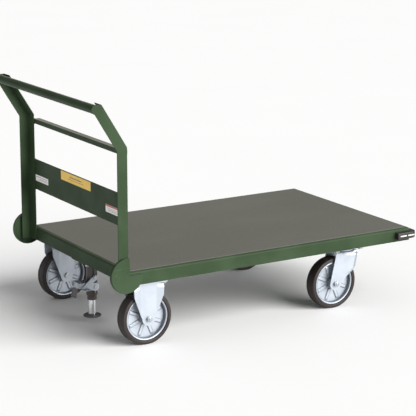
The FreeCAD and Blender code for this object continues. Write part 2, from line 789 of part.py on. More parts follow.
def make_pedal():
    bend_x, bend_z = pedal_bend()
    half_arm = pedal_arm / 2.0
    pedal = None
    for sign in (-1, 1):
        inner = sign * cheek_inner
        outer = sign * cheek_outer
        cheek = capsule(pedal_x, pedal_pivot_height, pedal_boss, bend_x, bend_z, half_arm,
                        min(inner, outer), max(inner, outer))
        hole = cylinder_y(pedal_x, pedal_pivot_height, pin_radius + pin_clearance,
                          min(inner, outer), max(inner, outer))
        cheek = cheek.cut(hole)
        pedal = cheek if pedal is None else pedal.fuse(cheek)
    bridge = box(bend_x - pedal_sheet, bend_x + pedal_sheet, -cheek_outer, cheek_outer,
                 bend_z - half_arm, bend_z + half_arm)
    half_tongue = tongue_width / 2.0
    tongue = prism_y(tongue_outline(pedal_sheet, 0.0, tongue_length), -half_tongue, half_tongue)
    return solid(pedal.fuse(bridge).fuse(tongue))


def make_pedal_boot():
    """Rubber sleeve over the end of the pedal's tongue."""
    half = tongue_width / 2.0
    start = tongue_length - boot_length
    outer = prism_y(tongue_outline(pedal_sheet + 2 * boot_wall, start, tongue_length + boot_wall),
                    -half - boot_wall, half + boot_wall)
    return outer.cut(prism_y(tongue_outline(pedal_sheet, start, tongue_length), -half, half))


def make_release_lever():
    end_x = lock_x - release_reach
    end_z = release_height - release_drop
    arm = capsule(lock_x, release_height, release_boss, end_x, end_z, release_arm / 2.0,
                  -release_outer, -release_inner)
    tread = box(end_x - release_arm / 2.0, end_x + release_tread - release_arm / 2.0,
                -release_outer - release_tread, -release_inner, end_z - pedal_sheet, end_z)
    hole = cylinder_y(lock_x, release_height, pin_radius + pin_clearance, -release_outer, -release_inner)
    return solid(arm.fuse(tread).cut(hole))


def make_nipple():
    """Grease nipple screwed into the housing's wall."""
    shank = cylinder_y(lock_x, nipple_height, nipple_radius, -lock_radius, -lock_radius + pin_set)
    button = cylinder_y(lock_x, nipple_height, nipple_button, -lock_radius - nipple_length, -lock_radius)
    return solid(shank.fuse(button))


# ---------------------------------------------------------------- all nodes
def deck_nodes():
    return {"deck_pan": make_deck_pan(), "deck_mat": make_deck_mat(), "deck_ribs": make_deck_ribs(),
            "cross_channels": make_cross_channels(), "caster_pads": make_caster_pads(),
            "caster_bolts": make_caster_bolts(), "caster_nuts": make_caster_nuts()}


def handle_nodes():
    post = make_post()
    disc = make_foot_disc()
    return {"post_right": post, "post_left": left_of(post),
            "foot_disc_right": disc, "foot_disc_left": left_of(disc),
            "handle_pipe": make_handle_pipe(), "cross_bar": make_cross_bar(),
            "handle_panel": make_handle_panel(),
            "label_white": make_label(panel_reach - white_label_margin - white_label_width,
                                      white_label_width, white_label_bottom, white_label_height),
            "label_yellow": make_label(yellow_label_shift - yellow_label_width / 2.0, yellow_label_width,
                                       yellow_label_bottom, yellow_label_height),
            "label_notice": make_label(notice_label_margin - panel_reach, notice_label_width,
                                       notice_label_bottom, notice_label_height)}


def bumper_nodes():
    bumper = make_bumper()
    return {"bumper_right": bumper, "bumper_left": left_of(bumper), "bumper_strips": make_bumper_strips()}


def wheel_nodes(prefix, x, y):
    nodes = {}
    for name, maker in (("rim", make_rim), ("tyre", make_tyre), ("bearing", make_bearing)):
        piece = maker(x, y)
        nodes[prefix + "_" + name + "_right"] = piece
        nodes[prefix + "_" + name + "_left"] = left_of(piece)
    return nodes


def rigid_nodes():
    fork = make_rigid_fork(rigid_x, rigid_y)
    bolt = make_axle_bolt(rigid_x, rigid_y)
    nut = make_axle_nut(rigid_x, rigid_y)
    nodes = {"rear_fork_right": fork, "rear_fork_left": left_of(fork),
             "rear_axle_bolts": Part.makeCompound([bolt, left_of(bolt)]),
             "rear_axle_nuts": Part.makeCompound([nut, left_of(nut)])}
    nodes.update(wheel_nodes("rear", rigid_x, rigid_y))
    return nodes


def swivel_nodes():
    nodes = {}
    for name, maker in (("swivel_plate", make_swivel_plate), ("swivel_race", make_swivel_race),
                        ("kingpin", make_kingpin), ("front_fork", make_swivel_fork)):
        piece = maker(swivel_x, swivel_y)
        nodes[name + "_right"] = piece
        nodes[name + "_left"] = left_of(piece)
    for name, maker in (("front_axle_bolt", make_axle_bolt), ("front_axle_nut", make_axle_nut)):
        piece = maker(swivel_axle_x, swivel_y)
        nodes[name + "_right"] = piece
        nodes[name + "_left"] = left_of(piece)
    nodes.update(wheel_nodes("front", swivel_axle_x, swivel_y))
    return nodes


def lock_nodes():
    return {"lock_plate": make_lock_plate(), "lock_bolts": make_lock_bolts(),
            "lock_housing": make_lock_housing(), "lock_plunger": make_plunger(),
            "lock_foot": make_lock_foot(), "lock_spring": make_lock_spring(),
            "pedal": make_pedal(), "pedal_boot": make_pedal_boot(), "lever_pins": make_lever_pins(),
            "release_lever": make_release_lever(), "grease_nipple": make_nipple()}


def main():
    os.makedirs("parts", exist_ok=True)
    nodes = {}
    for group in (deck_nodes, handle_nodes, bumper_nodes, rigid_nodes, swivel_nodes, lock_nodes):
        nodes.update(group())
    for name, shape in nodes.items():
        shape.exportStep("parts/" + name + ".step")
        bounds = shape.BoundBox
        print("%-22s solids %2d valid %s volume %.0f x %.1f..%.1f y %.1f..%.1f z %.1f..%.1f" % (
            name, len(shape.Solids), shape.isValid(), shape.Volume,
            bounds.XMin, bounds.XMax, bounds.YMin, bounds.YMax, bounds.ZMin, bounds.ZMax))
    print(len(nodes), "nodes, deck from", round(rear, 2), "to", round(front, 2), "and", deck_height, "high")
    print("rear axle", rigid_x, rigid_y, "swivel axis", swivel_x, swivel_y, "front axle", swivel_axle_x)
    print("lock axis", lock_x, "pedal pivot", pedal_x, pedal_pivot_height, "handle pipe", pipe_centre())


main()
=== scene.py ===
# %% [markdown]
# # A steel platform cart, finished in Blender
#
# The cart is a pressed steel deck on four casters, with a leaning push handle at one end and a foot lock
# under it. Every size and place comes from a packed engineering model, which is loaded first and never
# changed. Blender adds what that model leaves out: rolled edges, press folds, weld beads, rubber and
# plating. Each step first says what the piece is and why it is made in this way.

# %% Load the frame
import bmesh
import bpy
import json
import math
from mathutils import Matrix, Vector


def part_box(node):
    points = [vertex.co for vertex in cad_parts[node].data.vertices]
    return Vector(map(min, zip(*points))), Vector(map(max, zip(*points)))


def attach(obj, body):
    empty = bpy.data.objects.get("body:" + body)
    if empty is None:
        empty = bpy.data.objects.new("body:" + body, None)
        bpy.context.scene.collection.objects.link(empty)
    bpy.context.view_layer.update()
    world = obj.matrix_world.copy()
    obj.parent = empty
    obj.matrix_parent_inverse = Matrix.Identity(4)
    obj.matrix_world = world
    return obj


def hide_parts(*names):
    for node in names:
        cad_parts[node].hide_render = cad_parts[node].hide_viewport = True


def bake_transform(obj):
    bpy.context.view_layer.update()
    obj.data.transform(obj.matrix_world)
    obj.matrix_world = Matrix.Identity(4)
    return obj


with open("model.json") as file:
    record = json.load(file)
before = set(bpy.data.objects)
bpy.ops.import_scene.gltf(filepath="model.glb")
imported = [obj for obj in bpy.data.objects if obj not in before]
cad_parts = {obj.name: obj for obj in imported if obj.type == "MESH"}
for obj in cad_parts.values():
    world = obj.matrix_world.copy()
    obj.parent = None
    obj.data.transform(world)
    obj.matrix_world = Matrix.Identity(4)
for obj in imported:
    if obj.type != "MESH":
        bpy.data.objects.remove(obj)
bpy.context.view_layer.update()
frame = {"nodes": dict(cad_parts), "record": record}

record = frame["record"]
node_body = {node: body for body, nodes in record["behaviour"]["bodies"].items() for node in nodes}

# %% [markdown]
# ## Places
#
# A node's box gives its lowest and highest corner, so the middle of a wheel, the height of the deck or the
# rear face of the rail are read from the frame, never typed in. Blender works in metres, and a maker
# thinks of a sheet in millimetres, so one small constant keeps both readable.

# %% Read the places that many pieces share
MM = 0.001
RIGHT, LEFT = -1, 1
SIDES = {"right": RIGHT, "left": LEFT}


def corners(node):
    low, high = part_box(node)
    return Vector(low), Vector(high)


def middle(node):
    low, high = corners(node)
    return (low + high) / 2


deck_low, deck_high = corners("deck_pan")
print("deck", [round(v, 3) for v in deck_high - deck_low])

# %% [markdown]
# ## The camera comes first
#
# A catalogue view is taken from a few metres away with a long lens, so that the deck's sides stay nearly
# parallel. The camera stands behind the handle, to the right, and looks slightly down.

# %% Place the camera
camera_place = Vector((-3.170, -5.226, 1.859))
camera_heading = math.radians(58.75)
camera_tilt = math.radians(-12.91)
camera_lens = 139.9
camera_rise = -0.05
SENSOR_WIDTH = 36.0


def add_object(name, data):
    made = bpy.data.objects.new(name, data)
    bpy.context.collection.objects.link(made)
    return made


def make_camera():
    data = bpy.data.cameras.new("view")
    data.lens = camera_lens
    data.sensor_width = SENSOR_WIDTH
    data.shift_y = camera_rise
    camera = add_object("view", data)
    ahead = Vector((math.cos(camera_heading) * math.cos(camera_tilt),
                    math.sin(camera_heading) * math.cos(camera_tilt), math.sin(camera_tilt)))
    camera.location = camera_place
    camera.rotation_mode = "QUATERNION"
    camera.rotation_quaternion = ahead.to_track_quat("-Z", "Y")
    bpy.context.scene.camera = camera


make_camera()
print("camera at", tuple(camera_place), "lens", camera_lens)

# %% [markdown]
# ## Shader maths as plain expressions
#
# A material is a graph of nodes. Written node by node, a sum of two patterns takes ten lines and hides the
# idea. The class below wraps one socket, so that `1 - mask * 0.4` adds its Math nodes by itself. Colours
# need Mix nodes, because a Math node would turn them grey.

# %% A socket that can be used in an expression
def operator(operation, swapped=False):
    def act(field, other):
        return field.math(operation, other, field) if swapped else field.math(operation, field, other)
    return act


class Field:
    """A number that varies over a surface."""

    def __init__(self, paint, socket):
        self.paint = paint
        self.socket = socket

    def math(self, operation, first, second):
        node = self.paint.tree.nodes.new("ShaderNodeMath")
        node.operation = operation
        self.paint.feed(node.inputs[0], first)
        self.paint.feed(node.inputs[1], second)
        return Field(self.paint, node.outputs[0])

    __add__ = operator("ADD")
    __radd__ = operator("ADD", True)
    __sub__ = operator("SUBTRACT")
    __rsub__ = operator("SUBTRACT", True)
    __mul__ = operator("MULTIPLY")
    __rmul__ = operator("MULTIPLY", True)
    __truediv__ = operator("DIVIDE")
    __gt__ = operator("GREATER_THAN")
    __lt__ = operator("LESS_THAN")

    def between(self, low, high):
        """1 inside the limits and 0 outside."""
        return (self > low) * (self < high)

    def soft(self, low, high):
        """Rises smoothly from 0 at low to 1 at high."""
        return self.paint.node("ShaderNodeMapRange", {"interpolation_type": "SMOOTHSTEP"},
                               {0: self, 1: low, 2: high, 3: 0.0, 4: 1.0})


# %% A material that is put together with such fields
class Paint:
    """One surface finish: a Principled shader and whatever varies over it."""

    def __init__(self, name, **constants):
        self.material = bpy.data.materials.new(name)
        self.material.use_nodes = True
        self.tree = self.material.node_tree
        self.shader = self.tree.nodes["Principled BSDF"]
        for socket, value in constants.items():
            label = socket.replace("_", " ").title().replace("Ior", "IOR")
            self.shader.inputs[label].default_value = value
        self.place = self.node("ShaderNodeTexCoord", output="Object")
        self.x, self.y, self.z = self.parts(self.place)

    def feed(self, socket, value):
        if isinstance(value, Field):
            self.tree.links.new(value.socket, socket)
        else:
            socket.default_value = value

    def node(self, kind, settings=None, values=None, output=0):
        """Adds any node: settings first, then values or links, and gives one output back."""
        made = self.tree.nodes.new(kind)
        for name, value in (settings or {}).items():
            setattr(made, name, value)
        for name, value in (values or {}).items():
            self.feed(made.inputs[name], value)
        return Field(self, made.outputs[output])

    def parts(self, vector):
        split = self.tree.nodes.new("ShaderNodeSeparateXYZ")
        self.feed(split.inputs[0], vector)
        return [Field(self, socket) for socket in split.outputs]

    def noise(self, scale, detail=3.0, stretch=(1.0, 1.0, 1.0)):
        where = self.node("ShaderNodeMapping", {}, {"Vector": self.place, "Scale": stretch})
        return self.node("ShaderNodeTexNoise", {}, {"Vector": where, "Scale": scale, "Detail": detail})

    def cells(self, scale):
        return self.node("ShaderNodeTexVoronoi", {}, {"Vector": self.place, "Scale": scale}, "Distance")

    def mix(self, amount, first, second):
        """Blends two colours, each a triple or a field."""
        made = self.tree.nodes.new("ShaderNodeMix")
        made.data_type = "RGBA"
        self.feed(made.inputs[0], amount)
        for index, colour in ((6, first), (7, second)):
            self.feed(made.inputs[index], colour if isinstance(colour, Field) else (*colour, 1.0))
        return Field(self, made.outputs[2])

    def upward(self):
        """1 on faces that look straight up, 0 on walls."""
        return self.parts(self.node("ShaderNodeNewGeometry", output="Normal"))[2]

    def colour(self, value):
        self.feed(self.shader.inputs["Base Color"], value)

    def roughness(self, value):
        self.feed(self.shader.inputs["Roughness"], value)

    def coat(self, value):
        self.feed(self.shader.inputs["Coat Weight"], value)

    def relief(self, height, depth, strength):
        """Fine relief: a height field of that depth in metres."""
        values = {"Height": height, "Distance": depth, "Strength": strength}
        self.feed(self.shader.inputs["Normal"], self.node("ShaderNodeBump", {}, values, "Normal"))


print("expressions such as 1 - mask now add their own nodes")

# %% [markdown]
# ## Green stove enamel
#
# The frame is sprayed and baked: a satin green with a faint orange-peel surface. The colour shifts a
# little where the coat is thick or thin. Faces that look straight up are painted paler, partly as settled
# dust, most of all on the handle, which nobody wipes, and partly as a painted highlight. Real enamel is a
# colour under a clear gloss, so a thin coat layer sits over it.

# %% Green enamel
GREEN_DEEP = (0.033, 0.055, 0.028)
GREEN_LIGHT = (0.043, 0.069, 0.037)
GREEN_RUBBED = (0.14, 0.18, 0.13)
DUST_AND_HIGHLIGHT = (0.26, 0.25, 0.22)
ABOVE_DECK = 0.5


def green_enamel():
    paint = Paint("green_enamel", coat_roughness=0.22, coat_ior=1.45, ior=1.1)
    coat = paint.noise(7.0, 2.0).soft(0.35, 0.65)
    tone = paint.mix(coat, GREEN_DEEP, GREEN_LIGHT)
    scuffs = (paint.noise(60.0, 5.0, (0.25, 0.25, 3.0)) > 0.71) * paint.noise(5.0, 1.0).soft(0.50, 0.62)
    tone = paint.mix(scuffs * 0.45, tone, GREEN_RUBBED)
    # Upward faces are painted paler: settled dust, with more of it above the deck, and a painted highlight on
    # tops and top edges.
    dust_and_highlight_share = 0.22 + 0.55 * (paint.z > ABOVE_DECK)
    dust = paint.upward().soft(0.975, 0.998) * dust_and_highlight_share * (0.8 + 0.3 * coat)
    paint.colour(paint.mix(dust, tone, DUST_AND_HIGHLIGHT))
    paint.roughness(0.32 + 0.10 * paint.noise(25.0, 2.0) + 0.15 * scuffs + 0.2 * dust)
    paint.coat(0.05 - 0.04 * scuffs)
    paint.relief(paint.noise(420.0, 1.0), 0.00012, 0.5)
    return paint.material


green = green_enamel()
print("made", green.name)

# %% [markdown]
# ## The deck's grey mat
#
# The top carries a thin non-slip sheet in warm grey. Its surface is a fine pebble, which Voronoi cells give
# at the right scale, and traffic has polished it in broad patches. The patches change both the colour and
# the roughness, because a polished place is a little lighter and shinier at once.

# %% Grey mat
def grey_mat():
    paint = Paint("grey_mat", ior=1.03)
    pebble = paint.cells(330.0)
    traffic = paint.noise(2.2, 4.0, (0.6, 1.0, 1.0)).soft(0.38, 0.66)
    streaks = paint.noise(40.0, 3.0, (0.08, 1.0, 1.0)).soft(0.55, 0.75)
    tone = paint.mix(traffic, (0.150, 0.151, 0.132), (0.163, 0.163, 0.144))
    tone = paint.mix(pebble.soft(0.25, 0.75) * 0.35, tone, (0.108, 0.108, 0.093))
    paint.colour(paint.mix(streaks * 0.12, tone, (0.17, 0.17, 0.15)))
    paint.roughness(0.74 - 0.10 * traffic + 0.05 * streaks)
    paint.relief(1 - pebble, 0.0004, 0.55)
    return paint.material


mat_grey = grey_mat()
print("made", mat_grey.name)

# %% [markdown]
# ## Plated and bare steel
#
# Bright zinc plate has a cold tint, a soft sheen and fine clouds where the passivation bath ran off. The
# bath leaves a thin chalky film, so the plate is not wholly metallic. Ground steel is greyer and chrome
# smoother. One function makes them all, because they differ only in tint, roughness and the size of their clouds.

# %% Zinc, steel, chrome and brass
def plated(name, tint, cloud_tint, rough, cloud_scale, grain, metallic=1.0):
    """Painted shade is an attribute that only some pieces carry: it is 0 on all others."""
    paint = Paint(name, metallic=metallic)
    clouds = paint.noise(cloud_scale, 4.0).soft(0.35, 0.70)
    brushing = paint.noise(900.0, 2.0, (1.0, 1.0, 0.06))
    painted_shade = paint.node("ShaderNodeAttribute", {"attribute_name": "painted_shade"}, {}, "Fac")
    # The painted shade attribute darkens the colour toward a dark blue-grey and also raises the roughness a
    # little.
    paint.colour(paint.mix(painted_shade, paint.mix(clouds, tint, cloud_tint), (0.10, 0.115, 0.135)))
    paint.roughness(rough + grain * brushing + 0.08 * clouds + 0.15 * painted_shade)
    paint.relief(brushing, 0.00004, 0.35)
    return paint.material


zinc = plated("bright_zinc", (0.47, 0.51, 0.56), (0.40, 0.44, 0.49), 0.36, 14.0, 0.14, 0.7)
bright_bolts = plated("zinc_bolts", (0.46, 0.49, 0.52), (0.38, 0.41, 0.44), 0.28, 30.0, 0.12)
ground_steel = plated("ground_steel", (0.52, 0.53, 0.55), (0.42, 0.43, 0.44), 0.30, 20.0, 0.18)
chrome = plated("chrome_plate", (0.86, 0.87, 0.89), (0.80, 0.81, 0.84), 0.06, 10.0, 0.05)
brass = plated("machined_brass", (0.66, 0.44, 0.16), (0.54, 0.34, 0.12), 0.24, 60.0, 0.15)
print("made", zinc.name, bright_bolts.name, ground_steel.name, chrome.name, brass.name)

# %% [markdown]
# ## Rubber and enamel
#
# Tyres are a brown-black compound that picks up dust. Bumpers are a smoother black, and the lock's foot and
# the pedal's boot are a greyer one. The lock's tube is dipped in dark enamel, thick enough to hide the steel.

# %% Tyres, bumpers and the dark enamel
def rubber(name, tone, dust, rough, dust_amount):
    paint = Paint(name, specular_ior_level=0.45)
    grey = paint.noise(22.0, 5.0).soft(0.42, 0.72)
    speckle = paint.noise(240.0, 2.0).soft(0.55, 0.75)
    paint.colour(paint.mix((grey * 0.7 + speckle * 0.3) * dust_amount, tone, dust))
    paint.roughness(rough + 0.14 * grey)
    paint.relief(paint.noise(600.0, 2.0), 0.00015, 0.5)
    return paint.material


tyre_rubber = rubber("tyre_rubber", (0.015, 0.009, 0.008), (0.034, 0.023, 0.021), 0.50, 0.45)
bumper_rubber = rubber("bumper_rubber", (0.016, 0.015, 0.014), (0.060, 0.058, 0.055), 0.42, 0.35)
foot_rubber = rubber("foot_rubber", (0.085, 0.080, 0.080), (0.210, 0.200, 0.200), 0.50, 0.75)


def dark_enamel():
    paint = Paint("dark_enamel", coat_roughness=0.18)
    runs = paint.noise(18.0, 3.0, (1.0, 1.0, 0.3)).soft(0.4, 0.7)
    chips = paint.noise(150.0, 4.0) > 0.73
    tone = paint.mix(runs, (0.018, 0.013, 0.011), (0.042, 0.031, 0.026))
    paint.colour(paint.mix(chips * 0.4, tone, (0.12, 0.10, 0.085)))
    paint.roughness(0.34 + 0.14 * runs)
    paint.coat(0.4 - 0.3 * chips)
    paint.relief(paint.noise(180.0, 2.0), 0.0002, 0.4)
    return paint.material


lock_enamel = dark_enamel()
print("made", tyre_rubber.name, bumper_rubber.name, foot_rubber.name, lock_enamel.name)

# %% [markdown]
# ## Blank labels
#
# Three film labels are stuck to the panel. They carry no words: only a plain band or a few rules, placed
# from the label's own box, so that each stays right if the panel grows. The film has a paper tooth and a
# slightly darker cut edge.

# %% Label film
def label_film(name, node, ground, marks):
    """Marks are (tone, y0, y1, z0, z1), in shares of the label's width and height."""
    paint = Paint(name, coat_roughness=0.3, ior=1.3)
    low, high = corners(node)
    across = (paint.y - low.y) / (high.y - low.y)
    up = (paint.z - low.z) / (high.z - low.z)
    yellowed = paint.noise(30.0, 3.0).soft(0.4, 0.7)
    tone = paint.mix(yellowed * 0.18, ground, tuple(0.82 * part for part in ground))
    for mark, y0, y1, z0, z1 in marks:
        inside = across.between(y0, y1) * up.between(z0, z1)
        tone = paint.mix(inside * 0.9, tone, mark)
    edge = 1 - across.between(0.012, 0.988) * up.between(0.04, 0.96)
    paint.colour(paint.mix(edge * 0.35, tone, (0.25, 0.24, 0.20)))
    paint.roughness(0.38 + 0.15 * yellowed)
    paint.coat(0.25 + 0.1 * yellowed)
    paint.relief(paint.noise(800.0, 2.0), 0.00005, 0.3)
    return paint.material


INK = (0.10, 0.09, 0.08)
RED = (0.42, 0.03, 0.03)
white_film = label_film("white_film", "label_white", (0.93, 0.92, 0.91), [
    (INK, 0.08, 0.92, 0.66, 0.74), (INK, 0.08, 0.70, 0.42, 0.47),
    (INK, 0.08, 0.80, 0.24, 0.29)])
yellow_film = label_film("yellow_film", "label_yellow", (0.95, 0.62, 0.09), [
    (INK, 0.30, 0.70, 0.56, 0.66), (INK, 0.24, 0.76, 0.34, 0.39)])
notice_film = label_film("notice_film", "label_notice", (0.93, 0.92, 0.91), [
    (RED, 0.0, 1.0, 0.74, 1.0), (INK, 0.10, 0.90, 0.52, 0.57),
    (INK, 0.10, 0.80, 0.34, 0.39), (INK, 0.10, 0.86, 0.18, 0.23)])
dash_white = label_film("dash_white", "bumper_strips", (0.85, 0.85, 0.83), [])
print("made", white_film.name, yellow_film.name, notice_film.name, dash_white.name)

# %% [markdown]
# ## From a shape to a finished piece
#
# Every piece ends in the same way: faces are welded and turned outward, flat areas keep flat shading while
# rounded ones are smooth, and the piece rides on the body of the node that it stands for. Doing this once
# keeps the later cells about shape only.

# %% Finish a mesh
CREASE = 32.0


def present(mesh, name, material, node, crease=CREASE, replaced=True):
    """Makes a shown piece that stands for its node, and shades flats flat and rounds round."""
    mesh.shade_smooth()
    mesh.set_sharp_from_angle(angle=math.radians(crease))
    piece = add_object(name, mesh)
    mesh.materials.clear()
    mesh.materials.append(material)
    weighted = piece.modifiers.new("flat faces stay flat", "WEIGHTED_NORMAL")
    weighted.keep_sharp = True
    graph = bpy.context.evaluated_depsgraph_get()
    piece.data = bpy.data.meshes.new_from_object(piece.evaluated_get(graph))
    piece.data.name = name
    piece.modifiers.clear()
    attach(piece, node_body[node])
    if replaced:
        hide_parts(node)
    return piece


def to_mesh(bm, name):
    mesh = bpy.data.meshes.new(name)
    bm.to_mesh(mesh)
    bm.free()
    return mesh


def settle(bm, name, material, node, crease=CREASE):
    """Welds a shape, turns its faces outward and presents it."""
    bmesh.ops.remove_doubles(bm, verts=bm.verts, dist=0.01 * MM)
    bmesh.ops.recalc_face_normals(bm, faces=bm.faces)
    return present(to_mesh(bm, name), name, material, node, crease)


# %% Round the edges of a plain node
def welded_shape(node):
    bm = bmesh.new()
    bm.from_mesh(frame["nodes"][node].data)
    bmesh.ops.remove_doubles(bm, verts=bm.verts, dist=0.002 * MM)
    return bm


def flat_shape(node):
    """A welded shape without the seams inside its flat faces."""
    bm = welded_shape(node)
    bmesh.ops.dissolve_limit(bm, angle_limit=math.radians(0.5), verts=bm.verts, edges=bm.edges)
    return bm


def sharp_edges(bm, angle):
    return [edge for edge in bm.edges
            if len(edge.link_faces) == 2 and edge.calc_face_angle(0.0) > math.radians(angle)]


def roll(bm, edges, width, steps):
    bmesh.ops.bevel(bm, geom=edges, offset=width, segments=steps, profile=0.5, affect="EDGES",
                    clamp_overlap=True)


def eased_copy(node, name, material, ease, steps=2):
    """A copy of a node's shape whose sharp edges are rolled over by a small radius."""
    bm = flat_shape(node)
    roll(bm, sharp_edges(bm, 28.0), ease, steps)
    return present(to_mesh(bm, name), name, material, node)


print("helpers for finishing are ready")

# %% [markdown]
# ## Rings and rounded outlines
#
# Wheels, discs, races and the lock's plunger are turned on a lathe or rolled, so they are made in the same
# way: an outline with rounded corners is carried round an axis. The outline holds only its corners, each
# with its own radius, and the arcs are worked out.

# %% An outline with rounded corners, and a lathe
def rounded_outline(points, steps):
    """Closed outline from corners (a, b, radius in mm), with an arc of so many steps at each."""
    made = []
    count = len(points)
    for k, (a, b, radius) in enumerate(points):
        corner = Vector((a, b))
        before = Vector(points[k - 1][:2]) - corner
        after = Vector(points[(k + 1) % count][:2]) - corner
        half = before.angle(after) / 2
        reach = 0.0 if radius <= 0 or half > math.radians(89) else radius * MM / math.tan(half)
        reach = min(reach, before.length * 0.49, after.length * 0.49)
        if reach <= 0:
            made.append(corner)
            continue
        start = corner + before.normalized() * reach
        end = corner + after.normalized() * reach
        for j in range(steps + 1):
            t = j / steps
            made.append(start * (1 - t) ** 2 + corner * 2 * t * (1 - t) + end * t ** 2)
    return [(point.x, point.y) for point in made]


def skin(bm, rings, on_axis=None):
    """Closes the gaps between rings that follow each other, except along an axis."""
    for here, there in zip(rings, rings[1:]):
        for near in range(len(here)):
            far = (near + 1) % len(here)
            if not (on_axis and on_axis[near] and on_axis[far]):
                bm.faces.new((here[near], here[far], there[far], there[near]))
    return bm


def turn_outline(bm, outline, centre, axis, segments, shift=None):
    """Carries an outline of (radius, along) round an axis, 'Y' or 'Z', through centre."""
    rings = []
    for k in range(segments):
        turn = 2 * math.pi * k / segments
        ring = []
        for radius, along in outline:
            extra = shift(radius, along, turn) if shift else 0.0
            if axis == "Y":
                place = Vector((radius * math.cos(turn), along + extra, radius * math.sin(turn)))
            else:
                place = Vector((radius * math.cos(turn), radius * math.sin(turn), along + extra))
            ring.append(bm.verts.new(centre + place))
        rings.append(ring)
    on_axis = [radius < 1e-9 for radius, along in outline]
    return skin(bm, rings + rings[:1], on_axis)


def turned(name, material, node, outline, steps, centre, axis, segments, crease=CREASE, shift=None):
    """Finishes a piece whose outline of rounded corners is carried round an axis."""
    bm = turn_outline(bmesh.new(), rounded_outline(outline, steps), centre, axis, segments, shift)
    return settle(bm, name, material, node, crease)


def size_on_axle(node):
    """Half the length and the radius of a part that is turned about Y."""
    low, high = corners(node)
    return (high.y - low.y) / 2, (high.z - low.z) / 2


def mirrored(outline):
    return [(radius, -along, ease) for radius, along, ease in reversed(outline)]


def smooth_step(value, low, high):
    share = min(max((value - low) / (high - low), 0.0), 1.0)
    return share * share * (3 - 2 * share)


print("outline and lathe are ready")

# %% [markdown]
# ## A small kitchen for Geometry Nodes
#
# What repeats is made with Geometry Nodes: bolts, weld ripples and the coil spring. A tree takes named
# inputs, so the same recipe serves several places with other numbers. The result is turned into a plain
# mesh at once, because the rest of the script needs one that holds still.

# %% Build a tree, feed it and keep its mesh
class Recipe:
    """A Geometry Nodes tree with named inputs."""

    KINDS = {"number": "NodeSocketFloat", "count": "NodeSocketInt", "piece": "NodeSocketObject",
             "finish": "NodeSocketMaterial"}

    def __init__(self, name, **inputs):
        self.tree = bpy.data.node_groups.new(name, "GeometryNodeTree")
        face = self.tree.interface
        face.new_socket(name="Geometry", in_out="INPUT", socket_type="NodeSocketGeometry")
        self.identifiers = {}
        for label, kind in inputs.items():
            made = face.new_socket(name=label, in_out="INPUT", socket_type=self.KINDS[kind])
            self.identifiers[label] = made.identifier
        face.new_socket(name="Geometry", in_out="OUTPUT", socket_type="NodeSocketGeometry")
        self.start = self.tree.nodes.new("NodeGroupInput")
        self.end = self.tree.nodes.new("NodeGroupOutput")

    def given(self, label):
        return self.start.outputs[label]

    def node(self, kind, settings=None, values=None, output=0):
        made = self.tree.nodes.new(kind)
        for name, value in (settings or {}).items():
            setattr(made, name, value)
        for name, value in (values or {}).items():
            if isinstance(value, bpy.types.NodeSocket):
                self.tree.links.new(value, made.inputs[name])
            else:
                made.inputs[name].default_value = value
        return made.outputs[output]

    def serve(self, geometry):
        """Ends the tree: real faces, with their finish."""
        real = self.node("GeometryNodeRealizeInstances", {}, {0: geometry})
        done = self.node("GeometryNodeSetMaterial", {},
                         {"Geometry": real, "Material": self.given("finish")})
        self.tree.links.new(done, self.end.inputs[0])

    def cook(self, name, base, node, crease, replaced=True, **values):
        """Runs the tree on a base mesh and presents the plain result."""
        carrier = add_object(name + "_base", base)
        modifier = carrier.modifiers.new("recipe", "NODES")
        modifier.node_group = self.tree
        for label, value in values.items():
            modifier[self.identifiers[label]] = value
        graph = bpy.context.evaluated_depsgraph_get()
        mesh = bpy.data.meshes.new_from_object(carrier.evaluated_get(graph))
        bpy.data.objects.remove(carrier)
        return present(mesh, name, values["finish"], node, crease, replaced)


def points_mesh(name, places, edges=()):
    mesh = bpy.data.meshes.new(name)
    mesh.from_pydata([tuple(place) for place in places], list(edges), [])
    return mesh


print("recipes can be cooked")

# %% [markdown]
# ## Weld beads
#
# A hand-laid bead is a row of overlapping ripples. One recipe lays a small blob every millimetre or two
# along a path. A seeded random size keeps the row from looking like a string of pearls.

# %% The bead recipe
def weld_recipe():
    recipe = Recipe("weld_bead", pitch="number", size="number", seed="count", finish="finish")
    path = recipe.node("GeometryNodeMeshToCurve", {}, {0: recipe.given("Geometry")})
    dots = recipe.node("GeometryNodeCurveToPoints", {"mode": "LENGTH"},
                       {"Curve": path, "Length": recipe.given("pitch")})
    ball = recipe.node("GeometryNodeMeshUVSphere", {}, {"Radius": 1.0, "Segments": 10, "Rings": 5})
    wobble = recipe.node("FunctionNodeRandomValue", {"data_type": "FLOAT"},
                         {2: 0.88, 3: 1.12, "Seed": recipe.given("seed")}, 1)
    across = recipe.node("ShaderNodeMath", {"operation": "MULTIPLY"}, {0: wobble, 1: recipe.given("size")})
    recipe.serve(recipe.node("GeometryNodeInstanceOnPoints", {},
                             {"Points": dots, "Instance": ball, "Scale": across}))
    return recipe


welds = weld_recipe()


def weld(name, stretches, size, pitch, seed):
    """Lays a bead along each straight stretch, given by its two ends."""
    places = [Vector(end) for stretch in stretches for end in stretch]
    edges = [(2 * k, 2 * k + 1) for k in range(len(stretches))]
    return welds.cook(name, points_mesh(name, places, edges), "deck_pan", 80.0, False,
                      pitch=pitch, size=size, seed=seed, finish=green)


print("weld recipe is ready")

# %% [markdown]
# ## Bolts and nuts
#
# The casters hang on sixteen bolts. One bolt head is modelled well, with a chamfered crown and a washer
# face, and the recipe sets a copy at each place with a random turn, as a fitter leaves them.

